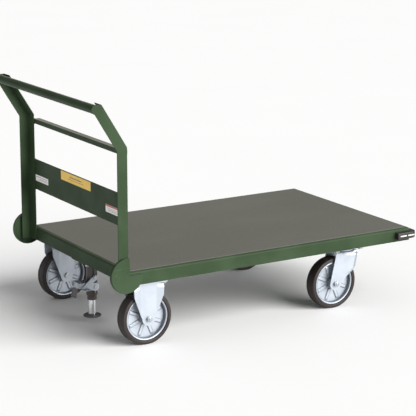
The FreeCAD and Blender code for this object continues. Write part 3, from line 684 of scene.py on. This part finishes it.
# %% One good hexagon
def hexagon_mesh(name, width, height, shank=0.0, shank_length=0.0, tail=0.0, tail_length=0.0):
    """A hexagon that stands up from z = 0 on a thin washer, with a shank below it or a tail above it."""
    bm = bmesh.new()
    flat = width / 2
    face = flat * 0.98
    steps = 24
    rings = []

    def edge(turn):
        return flat / math.cos((turn + math.pi / 6) % (math.pi / 3) - math.pi / 6)

    def ring(radius, z):
        turns = [2 * math.pi * k / steps for k in range(steps)]
        reach = [radius(turn) if callable(radius) else radius for turn in turns]
        rise = [z(turn) if callable(z) else z for turn in turns]
        rings.append([bm.verts.new((r * math.cos(t), r * math.sin(t), h))
                      for t, r, h in zip(turns, reach, rise)])

    washer_top = height * 0.16
    if shank > 0:
        ring(shank, -shank_length)
        ring(shank, 0.0)
    ring(flat * 1.2, 0.0)
    ring(flat * 1.2, washer_top)
    ring(face, washer_top)
    ring(edge, lambda turn: washer_top + (edge(turn) - face) * 0.55)
    ring(edge, lambda turn: height - (edge(turn) - face) * 0.55)
    ring(face, height)
    if tail > 0:
        ring(tail * 1.08, height)
        ring(tail, height + 0.4 * MM)
        ring(tail, height + tail_length - 0.8 * MM)
        ring(tail * 0.82, height + tail_length)
    skin(bm, rings)
    bm.faces.new(rings[-1])
    bm.faces.new(list(reversed(rings[0])))
    return to_mesh(bm, name)


# %% The bolt recipe
def bolt_recipe():
    recipe = Recipe("bolt_field", sample="piece", tilt="number", loose="number", seed="count",
                    finish="finish")
    info = recipe.node("GeometryNodeObjectInfo", {"transform_space": "ORIGINAL"},
                       {"Object": recipe.given("sample")}, "Geometry")
    turn = recipe.node("FunctionNodeRandomValue", {"data_type": "FLOAT"},
                       {2: 0.0, 3: recipe.given("loose"), "Seed": recipe.given("seed")}, 1)
    aim = recipe.node("ShaderNodeCombineXYZ", {}, {0: recipe.given("tilt"), 2: turn})
    recipe.serve(recipe.node("GeometryNodeInstanceOnPoints", {},
                             {"Points": recipe.given("Geometry"), "Instance": info, "Rotation": aim}))
    return recipe


bolts = bolt_recipe()


def set_bolts(name, sample_mesh, places, node, tilt, seed, loose=math.pi / 3):
    """Copies one sample to each place, tipped about X by the tilt and turned at random up to loose."""
    sample = add_object(name + "_sample", sample_mesh)
    bolts.cook(name, points_mesh(name, places), node, 30.0, sample=sample, tilt=tilt, loose=loose,
               seed=seed, finish=bright_bolts)
    bpy.data.objects.remove(sample)


print("bolt recipe is ready")

# %% [markdown]
# ## The deck
#
# The deck is one pressed tray. Its node already has the true folds, so a welded copy with rolled edges is
# enough, and the mat lies on it as a thin sheet with a softened rim. The channels, ribs and pads under the
# deck are folded steel too, and get the same treatment, because the cart is also seen from below.

# %% Deck, mat and the steel under them
eased_copy("deck_pan", "deck_tray_painted", green, 0.5 * MM)
eased_copy("deck_mat", "deck_mat_sheet", mat_grey, 0.8 * MM, 3)
for node, ease in (("cross_channels", 0.8), ("deck_ribs", 0.8), ("caster_pads", 0.6), ("lock_plate", 0.6)):
    eased_copy(node, node + "_painted", green, ease * MM)
print("deck finished")

# %% [markdown]
# ## The handle
#
# Two bent steel angles carry a round pipe, a square cross bar and a flat panel. The pipe is turned on the
# lathe of this script, because a rolled tube should look round at any distance. The angles keep the node's
# outline and get the small radius of hot-rolled steel.

# %% Posts, pipe, cross bar and panel
for side in SIDES:
    eased_copy("post_" + side, "post_" + side + "_painted", green, 1.0 * MM, 3)
eased_copy("cross_bar", "cross_bar_painted", green, 0.9 * MM, 3)
eased_copy("handle_panel", "handle_panel_painted", green, 0.8 * MM, 3)


def make_pipe():
    reach, radius = size_on_axle("handle_pipe")
    inner = radius - 2.0 * MM
    outline = [(radius, -reach, 0.4), (radius, reach, 0.4), (inner, reach, 0.4),
               (inner, -reach, 0.4)]
    turned("handle_pipe_painted", green, "handle_pipe", outline, 2, middle("handle_pipe"), "Y", 96)


make_pipe()
print("handle finished")

# %% [markdown]
# ## Foot discs
#
# A pressed three-quarter disc closes the foot of each post. Its outer rim is rolled over by a larger radius
# than its cut edges, so two bevels are made: a wide one on the outer face's edge, then a small one on the
# rest.

# %% Pressed discs with a rolled rim
def make_foot_disc(side):
    node = "foot_disc_" + side
    low, high = corners(node)
    face_y = low.y if SIDES[side] == RIGHT else high.y
    bm = flat_shape(node)
    for width, steps, outer_face in ((2.6 * MM, 5, True), (0.5 * MM, 2, False)):
        rim = [edge for edge in sharp_edges(bm, 50.0)
               if all(abs(vert.co.y - face_y) < 0.01 * MM for vert in edge.verts) == outer_face]
        roll(bm, rim, width, steps)
    present(to_mesh(bm, node), node + "_painted", green, node)


for side in SIDES:
    make_foot_disc(side)
print("discs finished")

# %% [markdown]
# ## Corner bumpers
#
# A moulded rubber angle wraps each front corner. Its section has soft outer edges and a groove above and
# below the white dashes. The section is carried along the corner's path: straight, a quarter turn, straight.

# %% Sweep the bumper's section round the corner
def make_bumper(side):
    node = "bumper_" + side
    sign = SIDES[side]
    low, high = corners(node)
    depth = high.x - deck_high.x
    height = high.z - low.z
    band = height * 0.34
    groove = 1.1 * MM
    mid = height / 2
    section = rounded_outline([
        (0.0, 0.0, 0.8), (depth, 0.0, 5), (depth, mid - band / 2 - groove, 0.3),
        (depth - groove, mid - band / 2, 0.3), (depth - 0.5 * MM, mid - band / 2 + groove, 0.3),
        (depth - 0.5 * MM, mid + band / 2 - groove, 0.3), (depth - groove, mid + band / 2, 0.3),
        (depth, mid + band / 2 + groove, 0.3), (depth, height, 5), (0.0, height, 0.8)], 4)
    corner = 6.0 * MM
    hub = Vector((deck_high.x - corner, sign * (deck_high.y - corner)))
    arm_x = low.x
    arm_y = high.y if sign == RIGHT else low.y
    stations = []
    for k in range(9):
        stations.append((Vector((arm_x + (hub.x - arm_x) * k / 9, hub.y)), Vector((0.0, sign))))
    for k in range(17):
        turn = math.pi / 2 * k / 16
        stations.append((hub, Vector((math.sin(turn), sign * math.cos(turn)))))
    for k in range(1, 10):
        stations.append((Vector((hub.x, hub.y + (arm_y - hub.y) * k / 9)), Vector((1.0, 0.0))))
    bm = bmesh.new()
    rings = []
    for place, out in stations:
        rings.append([bm.verts.new((*(place + out * (corner + reach)), low.z + rise))
                      for reach, rise in section])
    skin(bm, rings)
    caps = [bm.faces.new(rings[0]), bm.faces.new(list(reversed(rings[-1])))]
    roll(bm, [edge for cap in caps for edge in cap.edges], 0.9 * MM, 3)
    settle(bm, node + "_moulded", bumper_rubber, node)


for side in SIDES:
    make_bumper(side)
eased_copy("bumper_strips", "bumper_dashes", dash_white, 0.15 * MM)
eased_copy("label_white", "label_white_film", white_film, 0.08 * MM)
eased_copy("label_yellow", "label_yellow_film", yellow_film, 0.08 * MM)
eased_copy("label_notice", "label_notice_film", notice_film, 0.08 * MM)
print("bumpers and labels finished")

# %% [markdown]
# ## Wheels
#
# A wheel is a rubber tyre on a rim of two pressed steel halves. The rim's outline is turned once, and a
# height rule raises eight radial bars on its disc, as the press does. The rule works on radius and angle, so
# the bars stay true however many segments the lathe takes.

# %% Rim with pressed bars
TURN_STEPS = 240
BAR_COUNT = 8
BAR_HALF = 6.8 * MM
BAR_RISE = 3.4 * MM
DISC_SETBACK = 16 * MM


def from_bar(radius, turn):
    """How far a point lies from the middle of the nearest bar."""
    sector = 2 * math.pi / BAR_COUNT
    return abs(radius * math.sin((turn + sector) % sector - sector / 2))


def bar_shape(radius, turn):
    """1 on the top of a pressed bar and 0 on the disc between the bars."""
    across = 1 - smooth_step(from_bar(radius, turn), BAR_HALF - 2.2 * MM, BAR_HALF)
    along = smooth_step(radius, 25 * MM, 30 * MM) * (1 - smooth_step(radius, 68 * MM, 73 * MM))
    return across * along


def store_painted_shade(mesh, centre, rule):
    """Keeps how much painted shade each point gets as an attribute, for the material to read."""
    layer = mesh.attributes.new("painted_shade", "FLOAT", "POINT")
    for k, vert in enumerate(mesh.vertices):
        away = vert.co - centre
        layer.data[k].value = rule(math.hypot(away.x, away.z), away.y, math.atan2(away.z, away.x))


def make_rim(wheel, centre):
    node = wheel.replace("_", "_rim_")
    half, lip = size_on_axle(node)
    seat = lip - 4 * MM
    barrel = seat - 3 * MM
    disc = half - DISC_SETBACK
    hub = 22 * MM
    bore = 16 * MM
    samples = [hub + 3 * MM + (barrel - hub - 6 * MM) * k / 20 for k in range(21)]
    outline = [(bore, half, 0.5), (hub - 1.5 * MM, half, 1.2), (hub, half - 2 * MM, 1.2),
               (hub + 1.0 * MM, disc, 1.6)]
    outline += [(radius, disc, 0.0) for radius in samples]
    outline += [(barrel, disc, 2.0), (barrel, half - 1.5 * MM, 1.2),
                (lip - 2.2 * MM, half, 1.0), (lip, half - 0.8 * MM, 0.9),
                (lip - 0.4 * MM, half - 3 * MM, 0.8), (seat, half - 3 * MM, 0.8)]

    def pressed(radius, along, turn):
        if abs(abs(along) - disc) > 0.6 * MM or radius < hub or radius > barrel:
            return 0.0
        return math.copysign(BAR_RISE * bar_shape(radius, turn), along)

    def painted_corner_shade(radius, along, turn):
        # Painted shade: darker on the barrel wall, beside the pressed bars and round the hub's root, where shade
        # falls.
        wall = smooth_step(radius, barrel - 4 * MM, barrel - 1 * MM)
        wall *= 1 - smooth_step(radius, seat - 1 * MM, seat + 1 * MM)
        flank = 1 - smooth_step(abs(from_bar(radius, turn) - BAR_HALF), 0.5 * MM, 3.0 * MM)
        ends = smooth_step(radius, 27 * MM, 31 * MM) * (1 - smooth_step(radius, 66 * MM, 70 * MM))
        root = 1 - smooth_step(abs(radius - hub - 1 * MM), 1.0 * MM, 5.0 * MM)
        return max(0.75 * wall, 0.5 * flank * ends, 0.5 * root)

    rim = turned(node + "_pressed", zinc, node, outline + mirrored(outline), 4, centre, "Y", TURN_STEPS,
                 40.0, pressed)
    store_painted_shade(rim.data, centre, painted_corner_shade)


# %% Tyre with two fine tread grooves
def make_tyre(wheel, centre):
    node = wheel.replace("_", "_tyre_")
    half, tread = size_on_axle(node)
    lip = tread - 16 * MM
    bead = half - 6 * MM
    cut = 0.9 * MM
    groove = 10.5 * MM
    upper = [(lip - 4 * MM, bead, 0.0), (lip, bead, 0.3), (lip + 1.2 * MM, half - 1.0 * MM, 0.8),
             (lip + 3.0 * MM, half, 0.8), (lip + 5.2 * MM, half - 0.7 * MM, 0.4),
             (lip + 6.2 * MM, half - 0.1 * MM, 0.6), (tread, half - 1.6 * MM, 9.0),
             (tread, groove + cut, 0.3), (tread - cut, groove + cut * 0.5, 0.2),
             (tread - cut, groove - cut * 0.5, 0.2), (tread, groove - cut, 0.3)]
    turned(node + "_rubber", tyre_rubber, node, upper + mirrored(upper), 6, centre, "Y", 192, 35.0)


# %% Bearing with its collar
def make_bearing(wheel, centre):
    node = wheel.replace("_", "_bearing_")
    half, outer = size_on_axle(node)
    bore = 6.05 * MM
    face = 24 * MM
    dust_gap = 23.2 * MM
    upper = [(bore, half, 0.4), (10.5 * MM, half, 0.6), (10.5 * MM, face, 0.6),
             (12.2 * MM, face, 0.3), (12.6 * MM, dust_gap, 0.3),
             (13.6 * MM, dust_gap, 0.3), (14.0 * MM, face, 0.3), (outer, face, 0.8)]
    turned(node + "_steel", ground_steel, node, upper + mirrored(upper), 3, centre, "Y", 96)


for wheel in ("rear_right", "rear_left", "front_right", "front_left"):
    hub_centre = middle(wheel.replace("_", "_tyre_"))
    make_rim(wheel, hub_centre)
    make_tyre(wheel, hub_centre)
    make_bearing(wheel, hub_centre)
print("four wheels finished")

# %% [markdown]
# ## Forks
#
# A caster's fork is pressed from thick sheet. Its leg is not flat: the rigid fork has a flat middle and two
# wings that lean outward, and the swivel fork has one upright crease. Each leg is a grid between its two
# edges, pushed out by a relief rule, and given its thickness by a second grid behind it.

# %% A pressed leg
FORK_SHEET = 4 * MM
PLATE_SHEET = 5 * MM
FOOT_RADIUS = 26 * MM
LEG_FACE = 34 * MM


def pressed_leg(bm, face_y, outward, heights, edges, relief):
    """Grid from the top height down; edges(z) gives the rear and front x, relief(x, z) the rise."""
    columns = 44
    skins = []
    for back in (0.0, FORK_SHEET):
        rows = []
        for z in heights:
            rear_x, front_x = edges(z)
            row = []
            for k in range(columns + 1):
                x = rear_x + (front_x - rear_x) * k / columns
                y = face_y + outward * (relief(x, z) - back)
                row.append(bm.verts.new((x, y, z)))
            rows.append(row)
        skins.append(rows)
    for rows in skins:
        for upper, lower in zip(rows, rows[1:]):
            for k in range(columns):
                bm.faces.new((upper[k], upper[k + 1], lower[k + 1], lower[k]))
    front, back = skins
    for k in range(columns):
        bm.faces.new((front[0][k], front[0][k + 1], back[0][k + 1], back[0][k]))
        bm.faces.new((front[-1][k], front[-1][k + 1], back[-1][k + 1], back[-1][k]))
    for k in range(len(heights) - 1):
        bm.faces.new((front[k][0], front[k + 1][0], back[k + 1][0], back[k][0]))
        bm.faces.new((front[k][-1], front[k + 1][-1], back[k + 1][-1], back[k][-1]))


def leg_heights(top, axle_z, rows):
    straight = [top + (axle_z - top) * k / rows for k in range(rows)]
    return straight + [axle_z - FOOT_RADIUS * math.sin(math.pi / 2 * k / 14) for k in range(15)]


def foot_edge(z, axle, hand, knee_x, knee_z):
    """x of a leg's rear (-1) or front (1) edge below its knee: straight to the foot, then round it."""
    if z <= axle.z:
        return axle.x + hand * math.sqrt(max(FOOT_RADIUS ** 2 - (axle.z - z) ** 2, 0.0))
    share = (z - axle.z) / (knee_z - axle.z)
    start = axle.x + hand * FOOT_RADIUS
    return start + (knee_x - start) * share


def rounded_plate(bm, low, high, corner, ease):
    """Flat plate with rounded corners, whose radius is in mm, and softened edges."""
    def outline(inset):
        left, right = low.x + inset, high.x - inset
        near, far = low.y + inset, high.y - inset
        return rounded_outline([(left, near, corner), (right, near, corner), (right, far, corner),
                                (left, far, corner)], 6)

    rings = []
    for inset, z in ((ease, low.z), (0.0, low.z + ease), (0.0, high.z - ease), (ease, high.z)):
        rings.append([bm.verts.new((x, y, z)) for x, y in outline(inset)])
    skin(bm, rings)
    bm.faces.new(list(reversed(rings[0])))
    bm.faces.new(rings[-1])


# %% Rigid fork
def make_rigid_fork(side):
    node = "rear_fork_" + side
    low, high = corners(node)
    centre = middle("rear_tyre_" + side)
    leg_top = high.z - PLATE_SHEET
    top_half = 62 * MM
    knee_half = 60 * MM
    knee_z = centre.z + 85 * MM
    flat_half = 31 * MM
    flare = 5.5 * MM

    def edges(z):
        if z > knee_z:
            half = knee_half + (top_half - knee_half) * (z - knee_z) / (leg_top - knee_z)
            return centre.x - half, centre.x + half
        return (foot_edge(z, centre, -1, centre.x - knee_half, knee_z),
                foot_edge(z, centre, 1, centre.x + knee_half, knee_z))

    def relief(x, z):
        beyond = max(abs(x - centre.x) - flat_half, 0.0) / (knee_half - flat_half)
        wing = flare * beyond * smooth_step(beyond, 0.0, 0.16)
        fade = smooth_step(z, centre.z + 4 * MM, centre.z + 44 * MM)
        return wing * fade * (1 - smooth_step(z, leg_top - 24 * MM, leg_top - 7 * MM))

    bm = bmesh.new()
    rounded_plate(bm, Vector((low.x, low.y, leg_top)), high, 8, 0.6 * MM)
    for outward in (-1, 1):
        pressed_leg(bm, centre.y + outward * LEG_FACE, outward,
                    leg_heights(leg_top + 1 * MM, centre.z, 44), edges, relief)
    settle(bm, node + "_pressed", zinc, node, 38.0)


for side in SIDES:
    make_rigid_fork(side)
print("rigid forks finished")

# %% Swivel fork, with its crown, race and kingpin
def make_swivel_fork(side):
    node = "front_fork_" + side
    low, high = corners(node)
    axle = middle("front_tyre_" + side)
    pivot = middle("kingpin_" + side)
    crown_top = high.z
    crown_low = crown_top - PLATE_SHEET
    crown_radius = high.x - pivot.x
    knee_x = pivot.x + 34 * MM
    knee_z = axle.z + 58 * MM
    crease_x = pivot.x - 12 * MM

    def edges(z):
        rear_x = foot_edge(z, axle, -1, pivot.x - crown_radius, crown_top)
        if z > knee_z:
            front_x = knee_x + (pivot.x + crown_radius - knee_x) * (z - knee_z) / (crown_top - knee_z)
            return rear_x, front_x
        return rear_x, foot_edge(z, axle, 1, knee_x, knee_z)

    def relief(x, z):
        beyond = max(x - crease_x, 0.0)
        lean = 0.13 * beyond * smooth_step(beyond, 0.0, 5 * MM)
        lip = 3.0 * MM * smooth_step(x, edges(z)[1] - 7 * MM, edges(z)[1] - 1 * MM)
        fade = smooth_step(z, axle.z + 10 * MM, axle.z + 46 * MM)
        return (lean + lip) * fade * (1 - smooth_step(z, crown_top - 16 * MM, crown_top - 3 * MM))

    bm = bmesh.new()
    for outward in (-1, 1):
        pressed_leg(bm, axle.y + outward * LEG_FACE, outward,
                    leg_heights(crown_top - 0.5 * MM, axle.z, 40), edges, relief)
    bore = 9.1 * MM
    outline = rounded_outline([(bore, crown_low, 0.4), (crown_radius, crown_low, 1.5),
                               (crown_radius, crown_top, 1.5), (30 * MM, crown_top, 0.6),
                               (26 * MM, crown_top - 1.2 * MM, 0.6),
                               (bore, crown_top - 1.2 * MM, 0.4)], 4)
    turn_outline(bm, outline, Vector((pivot.x, pivot.y, 0.0)), "Z", 96)
    for hand in (-1, 1):
        across = sorted((pivot.y + hand * 20 * MM, axle.y + hand * LEG_FACE))
        shoulder_low = Vector((pivot.x - crown_radius, across[0], crown_low))
        shoulder_high = Vector((pivot.x + crown_radius, across[1], crown_top - 0.4 * MM))
        rounded_plate(bm, shoulder_low, shoulder_high, 3, 1.2 * MM)
    settle(bm, node + "_pressed", zinc, node, 38.0)


def make_swivel_head(side):
    """Mounting plate, ball race and kingpin, which stay with the deck."""
    plate, ring, pin = "swivel_plate_" + side, "swivel_race_" + side, "kingpin_" + side
    pivot = middle(pin)
    on_axis = Vector((pivot.x, pivot.y, 0.0))
    bm = bmesh.new()
    rounded_plate(bm, *corners(plate), 8, 0.6 * MM)
    settle(bm, plate + "_zinc", zinc, plate)
    low, high = corners(ring)
    outer = (high.x - low.x) / 2
    waist_z = low.z + (high.z - low.z) * 0.5
    outline = [(26 * MM, low.z, 0.5), (outer - 4 * MM, low.z, 1.5),
               (outer, low.z + 3.5 * MM, 2), (outer, waist_z, 1.5),
               (outer - 2 * MM, waist_z + 2 * MM, 1.0), (outer - 2 * MM, high.z - 2 * MM, 1.5),
               (outer - 4 * MM, high.z, 0.5), (26 * MM, high.z, 0.5)]
    turned(ring + "_zinc", zinc, ring, outline, 5, on_axis, "Z", 96)
    low, high = corners(pin)
    head = (high.x - low.x) / 2
    shank = 9 * MM
    outline = [(0.0, low.z, 0.0), (head, low.z, 1.2), (head, low.z + 3 * MM, 0.5),
               (shank, low.z + 3 * MM, 0.4), (shank, high.z, 0.3), (0.0, high.z, 0.0)]
    turned(pin + "_steel", bright_bolts, pin, outline, 4, on_axis, "Z", 64)


for side in SIDES:
    make_swivel_fork(side)
    make_swivel_head(side)
print("swivel casters finished")

# %% [markdown]
# ## Fasteners in their places
#
# A node that groups bolts holds one separate solid for each, so their places are read by sorting its
# faces into islands. The bolt recipe then sets a detailed copy on each.

# %% Find each solid of a grouped node
def islands(node):
    """Middle of each separate solid in a node."""
    bm = welded_shape(node)
    unseen = set(bm.verts)
    middles = []
    while unseen:
        queue = [unseen.pop()]
        members = []
        while queue:
            vert = queue.pop()
            members.append(vert.co.copy())
            for edge in vert.link_edges:
                other = edge.other_vert(vert)
                if other in unseen:
                    unseen.remove(other)
                    queue.append(other)
        low = Vector(map(min, *members))
        high = Vector(map(max, *members))
        middles.append((low + high) / 2)
    bm.free()
    return sorted(middles, key=lambda place: (round(place.x, 4), round(place.y, 4)))


DOWN = math.pi
HEAD_HEIGHT = 6.5 * MM
HEAD_WIDTH = 17 * MM
plate_low = corners("swivel_plate_right")[0].z
head_mesh = hexagon_mesh("caster_bolt", HEAD_WIDTH, HEAD_HEIGHT, 5 * MM, 19 * MM)
nut_mesh = hexagon_mesh("caster_nut", HEAD_WIDTH, HEAD_HEIGHT)
lock_mesh = hexagon_mesh("lock_bolt", HEAD_WIDTH, HEAD_HEIGHT, 5 * MM, 11.5 * MM)


for node, sample, z, tilt, seed in (("caster_bolts", head_mesh, plate_low, DOWN, 3),
                                    ("caster_nuts", nut_mesh, deck_low.z, 0.0, 4),
                                    ("lock_bolts", lock_mesh, plate_low, DOWN, 5)):
    places = [Vector((place.x, place.y, z)) for place in islands(node)]
    set_bolts(node + "_zinc", sample, places, node, tilt, seed)
print("set", len(islands("caster_bolts")), "caster bolts and", len(islands("lock_bolts")), "lock bolts")

# %% Axle bolts and their nuts
AXLE_WIDTH = 19 * MM
NUT_HEIGHT = 10 * MM
axle_head = hexagon_mesh("axle_head", AXLE_WIDTH, HEAD_HEIGHT, 6 * MM, 2 * LEG_FACE)
axle_nut = hexagon_mesh("axle_nut", AXLE_WIDTH, NUT_HEIGHT, tail=6 * MM, tail_length=3 * MM)
SIDEWAYS = math.pi / 2


def set_axle(name, sample, wheel, node, toward, seed):
    """A head or a nut on the face of a fork's leg, in line with the axle."""
    centre = middle(wheel)
    place = Vector((centre.x, centre.y + toward * LEG_FACE, centre.z))
    set_bolts(name, sample, [place], node, -toward * SIDEWAYS, seed, 0.0)


for node, sample, hand, seed in (("rear_axle_bolts", axle_head, -1, 6), ("rear_axle_nuts", axle_nut, 1, 7)):
    for side, sign in SIDES.items():
        set_axle(node + "_zinc_" + side, sample, "rear_tyre_" + side, node, hand * sign, seed)
for side, sign in SIDES.items():
    for kind, sample, hand, seed in (("bolt_", axle_head, -1, 8), ("nut_", axle_nut, 1, 9)):
        node = "front_axle_" + kind + side
        set_axle(node + "_zinc", sample, "front_tyre_" + side, node, hand * sign, seed)
print("axles bolted")

# %% [markdown]
# ## The foot lock
#
# A dark tube hangs under the rear channel. A chrome plunger slides in it against a coil spring and presses a
# rubber foot to the floor when the pedal is trodden. The turned parts come from the lathe, and the pedal and
# lever keep their node's outline with rolled edges.

# %% Housing, plunger and foot
lock_low, lock_high = corners("lock_housing")
lock_axis = Vector((middle("lock_plunger").x, 0.0, 0.0))


def make_housing():
    tube = 21.5 * MM
    nose = 18 * MM
    guide = 15.08 * MM
    bore = 19 * MM
    shoulder = lock_low.z + 20 * MM
    bottom = lock_high.z - PLATE_SHEET
    bm = bmesh.new()
    rounded_plate(bm, Vector((lock_low.x, lock_low.y, bottom)), lock_high, 6, 0.6 * MM)
    outline = rounded_outline([
        (guide, lock_low.z, 0.4), (nose, lock_low.z, 1.2), (nose, shoulder - 3 * MM, 0.8),
        (tube, shoulder, 2.0), (tube, shoulder + 7 * MM, 0.4),
        (tube - 0.8 * MM, shoulder + 8 * MM, 0.4), (tube - 0.8 * MM, bottom - 8 * MM, 3),
        (tube, bottom + 0.5 * MM, 0.2), (bore, bottom + 0.5 * MM, 0.2),
        (bore, shoulder + 10 * MM, 0.4), (guide, shoulder + 10 * MM, 0.4)], 5)
    turn_outline(bm, outline, lock_axis, "Z", 96)
    settle(bm, "lock_housing_enamelled", lock_enamel, "lock_housing", 38.0)


def make_plunger():
    low, high = corners("lock_plunger")
    head = (high.x - low.x) / 2
    radius = 15 * MM
    waist = radius - 0.5 * MM
    bore = radius - 3 * MM
    outline = [(bore, low.z, 0.2), (radius, low.z, 0.2), (radius, low.z + 4 * MM, 0.2),
               (waist, low.z + 4.6 * MM, 0.2), (waist, low.z + 5.8 * MM, 0.2),
               (radius, low.z + 6.4 * MM, 0.2), (radius, high.z - 7 * MM, 0.4),
               (head, high.z - 7 * MM, 0.6), (head, high.z, 0.8), (bore, high.z, 0.4)]
    turned("lock_plunger_chromed", chrome, "lock_plunger", outline, 4, lock_axis, "Z", 96)


def make_foot():
    low, high = corners("lock_foot")
    radius = (high.x - low.x) / 2
    groove = 0.9 * MM
    outline = [(0.0, low.z, 0.0)]
    for ring in (12 * MM, 19 * MM, 26 * MM):
        outline += [(ring - 1.2 * MM, low.z, 0.2), (ring - 0.7 * MM, low.z + groove, 0.2),
                    (ring + 0.7 * MM, low.z + groove, 0.2), (ring + 1.2 * MM, low.z, 0.2)]
    outline += [(radius - 0.6 * MM, low.z, 0.6), (radius, high.z - 2.5 * MM, 1.0),
                (radius - 2.5 * MM, high.z - 0.6 * MM, 1.2), (21 * MM, high.z - 1.2 * MM, 0.6),
                (19 * MM, high.z, 0.6), (0.0, high.z, 0.0)]
    turned("lock_foot_rubber", foot_rubber, "lock_foot", outline, 3, lock_axis, "Z", 96)


make_housing()
make_plunger()
make_foot()
print("lock's turned parts finished")

# %% [markdown]
# ## The coil spring
#
# A spring follows the simplest rule of all: a circle that climbs. Geometry Nodes has a spiral for that,
# and the wire is a small circle carried along it. Its foot rests in the housing. The coiled piece is then
# taken off its parent, with its place kept in its mesh.

# %% Coil the spring
def spring_recipe():
    recipe = Recipe("coil_spring", turns="number", radius="number", height="number", wire="number",
                    finish="finish")
    spiral = recipe.node("GeometryNodeCurveSpiral", {}, {
        "Resolution": 40, "Rotations": recipe.given("turns"), "Start Radius": recipe.given("radius"),
        "End Radius": recipe.given("radius"), "Height": recipe.given("height")})
    wire = recipe.node("GeometryNodeCurvePrimitiveCircle", {"mode": "RADIUS"},
                       {"Resolution": 10, "Radius": recipe.given("wire")})
    tube = recipe.node("GeometryNodeCurveToMesh", {},
                       {"Curve": spiral, "Profile Curve": wire, "Fill Caps": True})
    place = recipe.node("GeometryNodeInputPosition")
    base = recipe.node("GeometryNodeSampleIndex", {"data_type": "FLOAT_VECTOR"},
                       {"Geometry": recipe.given("Geometry"), "Value": place, "Index": 0})
    recipe.serve(recipe.node("GeometryNodeSetPosition", {}, {"Geometry": tube, "Offset": base}))
    return recipe


spring_low, spring_high = corners("lock_spring")
wire_radius = 1.2 * MM
climb = spring_high.z - spring_low.z - 2 * wire_radius
spring_base = points_mesh("spring", [Vector((lock_axis.x, 0.0, spring_low.z + wire_radius))])
coil = spring_recipe().cook("lock_spring_coiled", spring_base, "lock_spring", 60.0, turns=9.0,
                            radius=17 * MM, height=climb, wire=wire_radius, finish=ground_steel)
world_place = coil.matrix_world.copy()
coil.parent = None
coil.matrix_world = world_place
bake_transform(coil)
print("spring coiled,", len(coil.data.polygons), "faces")

# %% Pedal, boot, lever, pins and nipple
eased_copy("pedal", "pedal_zinc", zinc, 0.7 * MM, 3)
eased_copy("pedal_boot", "pedal_boot_rubber", foot_rubber, 1.2 * MM, 3)
eased_copy("release_lever", "release_lever_zinc", zinc, 0.7 * MM, 3)
eased_copy("lever_pins", "lever_pins_steel", bright_bolts, 0.6 * MM, 3)
eased_copy("grease_nipple", "grease_nipple_brass", brass, 0.5 * MM, 3)
print("lock finished")

# %% [markdown]
# ## Welds
#
# The frame is welded by hand, and the beads are what tells real steel from a toy. Each runs along a
# joint that the frame's boxes give: post to rail, pipe to post, bar to post and panel to post.

# %% Lay the beads
bar_low, bar_high = corners("cross_bar")
panel_low, panel_high = corners("handle_panel")
side_y = deck_high.y
post_flange = 50 * MM


def pipe_ring(y):
    """Short stretches round the pipe's end."""
    centre = middle("handle_pipe")
    radius = size_on_axle("handle_pipe")[1] - 0.15 * MM
    turns = [2 * math.pi * k / 24 for k in range(25)]
    ring = [Vector((centre.x + radius * math.cos(turn), y, centre.z + radius * math.sin(turn)))
            for turn in turns]
    return list(zip(ring, ring[1:]))


def stretch(out, y_start, z_start, y_end, z_end):
    """A bead that stands out behind the deck's rear face."""
    x = deck_low.x + out * MM
    stretches.append(((x, y_start, z_start), (x, y_end, z_end)))


stretches = []
for sign in (RIGHT, LEFT):
    inner_y = sign * (side_y - post_flange)
    toe_y = inner_y - sign * 0.5 * MM
    top_z = deck_high.z + 0.2 * MM
    stretch(-0.3, toe_y, deck_low.z + 3 * MM, toe_y, deck_high.z - 9 * MM)
    stretch(0.5, sign * (side_y - 8 * MM), top_z, inner_y + sign * 3 * MM, top_z)
    bar_end = inner_y + sign * 5 * MM
    for z in (bar_low.z, bar_high.z):
        stretch(0.6, bar_end, z, bar_end - sign * 5 * MM, z)
    stretch(0.6, bar_end, bar_low.z, bar_end, bar_high.z)
    for z in (panel_low.z, panel_high.z):
        stretch(0.4, inner_y + sign * 22 * MM, z, inner_y + sign * 2 * MM, z)
frame_beads = weld("frame_weld_beads", stretches, 2.3 * MM, 1.7 * MM, 11)
pipe_end = side_y - 3.6 * MM
pipe_beads = weld("pipe_weld_beads", pipe_ring(-pipe_end) + pipe_ring(pipe_end), 1.0 * MM, 1.0 * MM, 12)
print("laid beads of", len(frame_beads.data.polygons) + len(pipe_beads.data.polygons), "faces")

# %% [markdown]
# ## Floor and light
#
# A plain pale floor, a dim even sky and one large soft key light show the steel without a story around it.
# The key stands to the right of the camera and above, so that the cart's long side is lit and the end
# behind the handle falls into shade.

# %% Studio
def make_floor():
    half = 30.0
    square = [(-half, -half, 0), (half, -half, 0), (half, half, 0), (-half, half, 0)]
    mesh = bpy.data.meshes.new("floor")
    mesh.from_pydata(square, [], [(0, 1, 2, 3)])
    floor = add_object("floor", mesh)
    paint = Paint("pale_floor", roughness=0.9)
    paint.colour(paint.mix(paint.noise(1.5, 2.0), (0.92, 0.92, 0.92), (0.94, 0.94, 0.94)))
    mesh.materials.append(paint.material)


def make_world(strength):
    world = bpy.data.worlds.new("studio")
    world.use_nodes = True
    sky = world.node_tree.nodes["Background"]
    sky.inputs["Color"].default_value = (1.0, 1.0, 1.0, 1.0)
    sky.inputs["Strength"].default_value = strength
    bpy.context.scene.world = world


def make_sun(name, toward, power, spread):
    data = bpy.data.lights.new(name, "SUN")
    data.energy = power
    data.angle = math.radians(spread)
    data.color = (1.0, 0.99, 0.985)
    light = add_object(name, data)
    light.rotation_mode = "QUATERNION"
    light.rotation_quaternion = Vector(toward).to_track_quat("Z", "Y")


make_floor()
make_world(0.33)
make_sun("key", (0.42, -0.84, 0.44), 5.5, 55.0)
bpy.context.scene.view_settings.view_transform = "Standard"
print("studio ready")
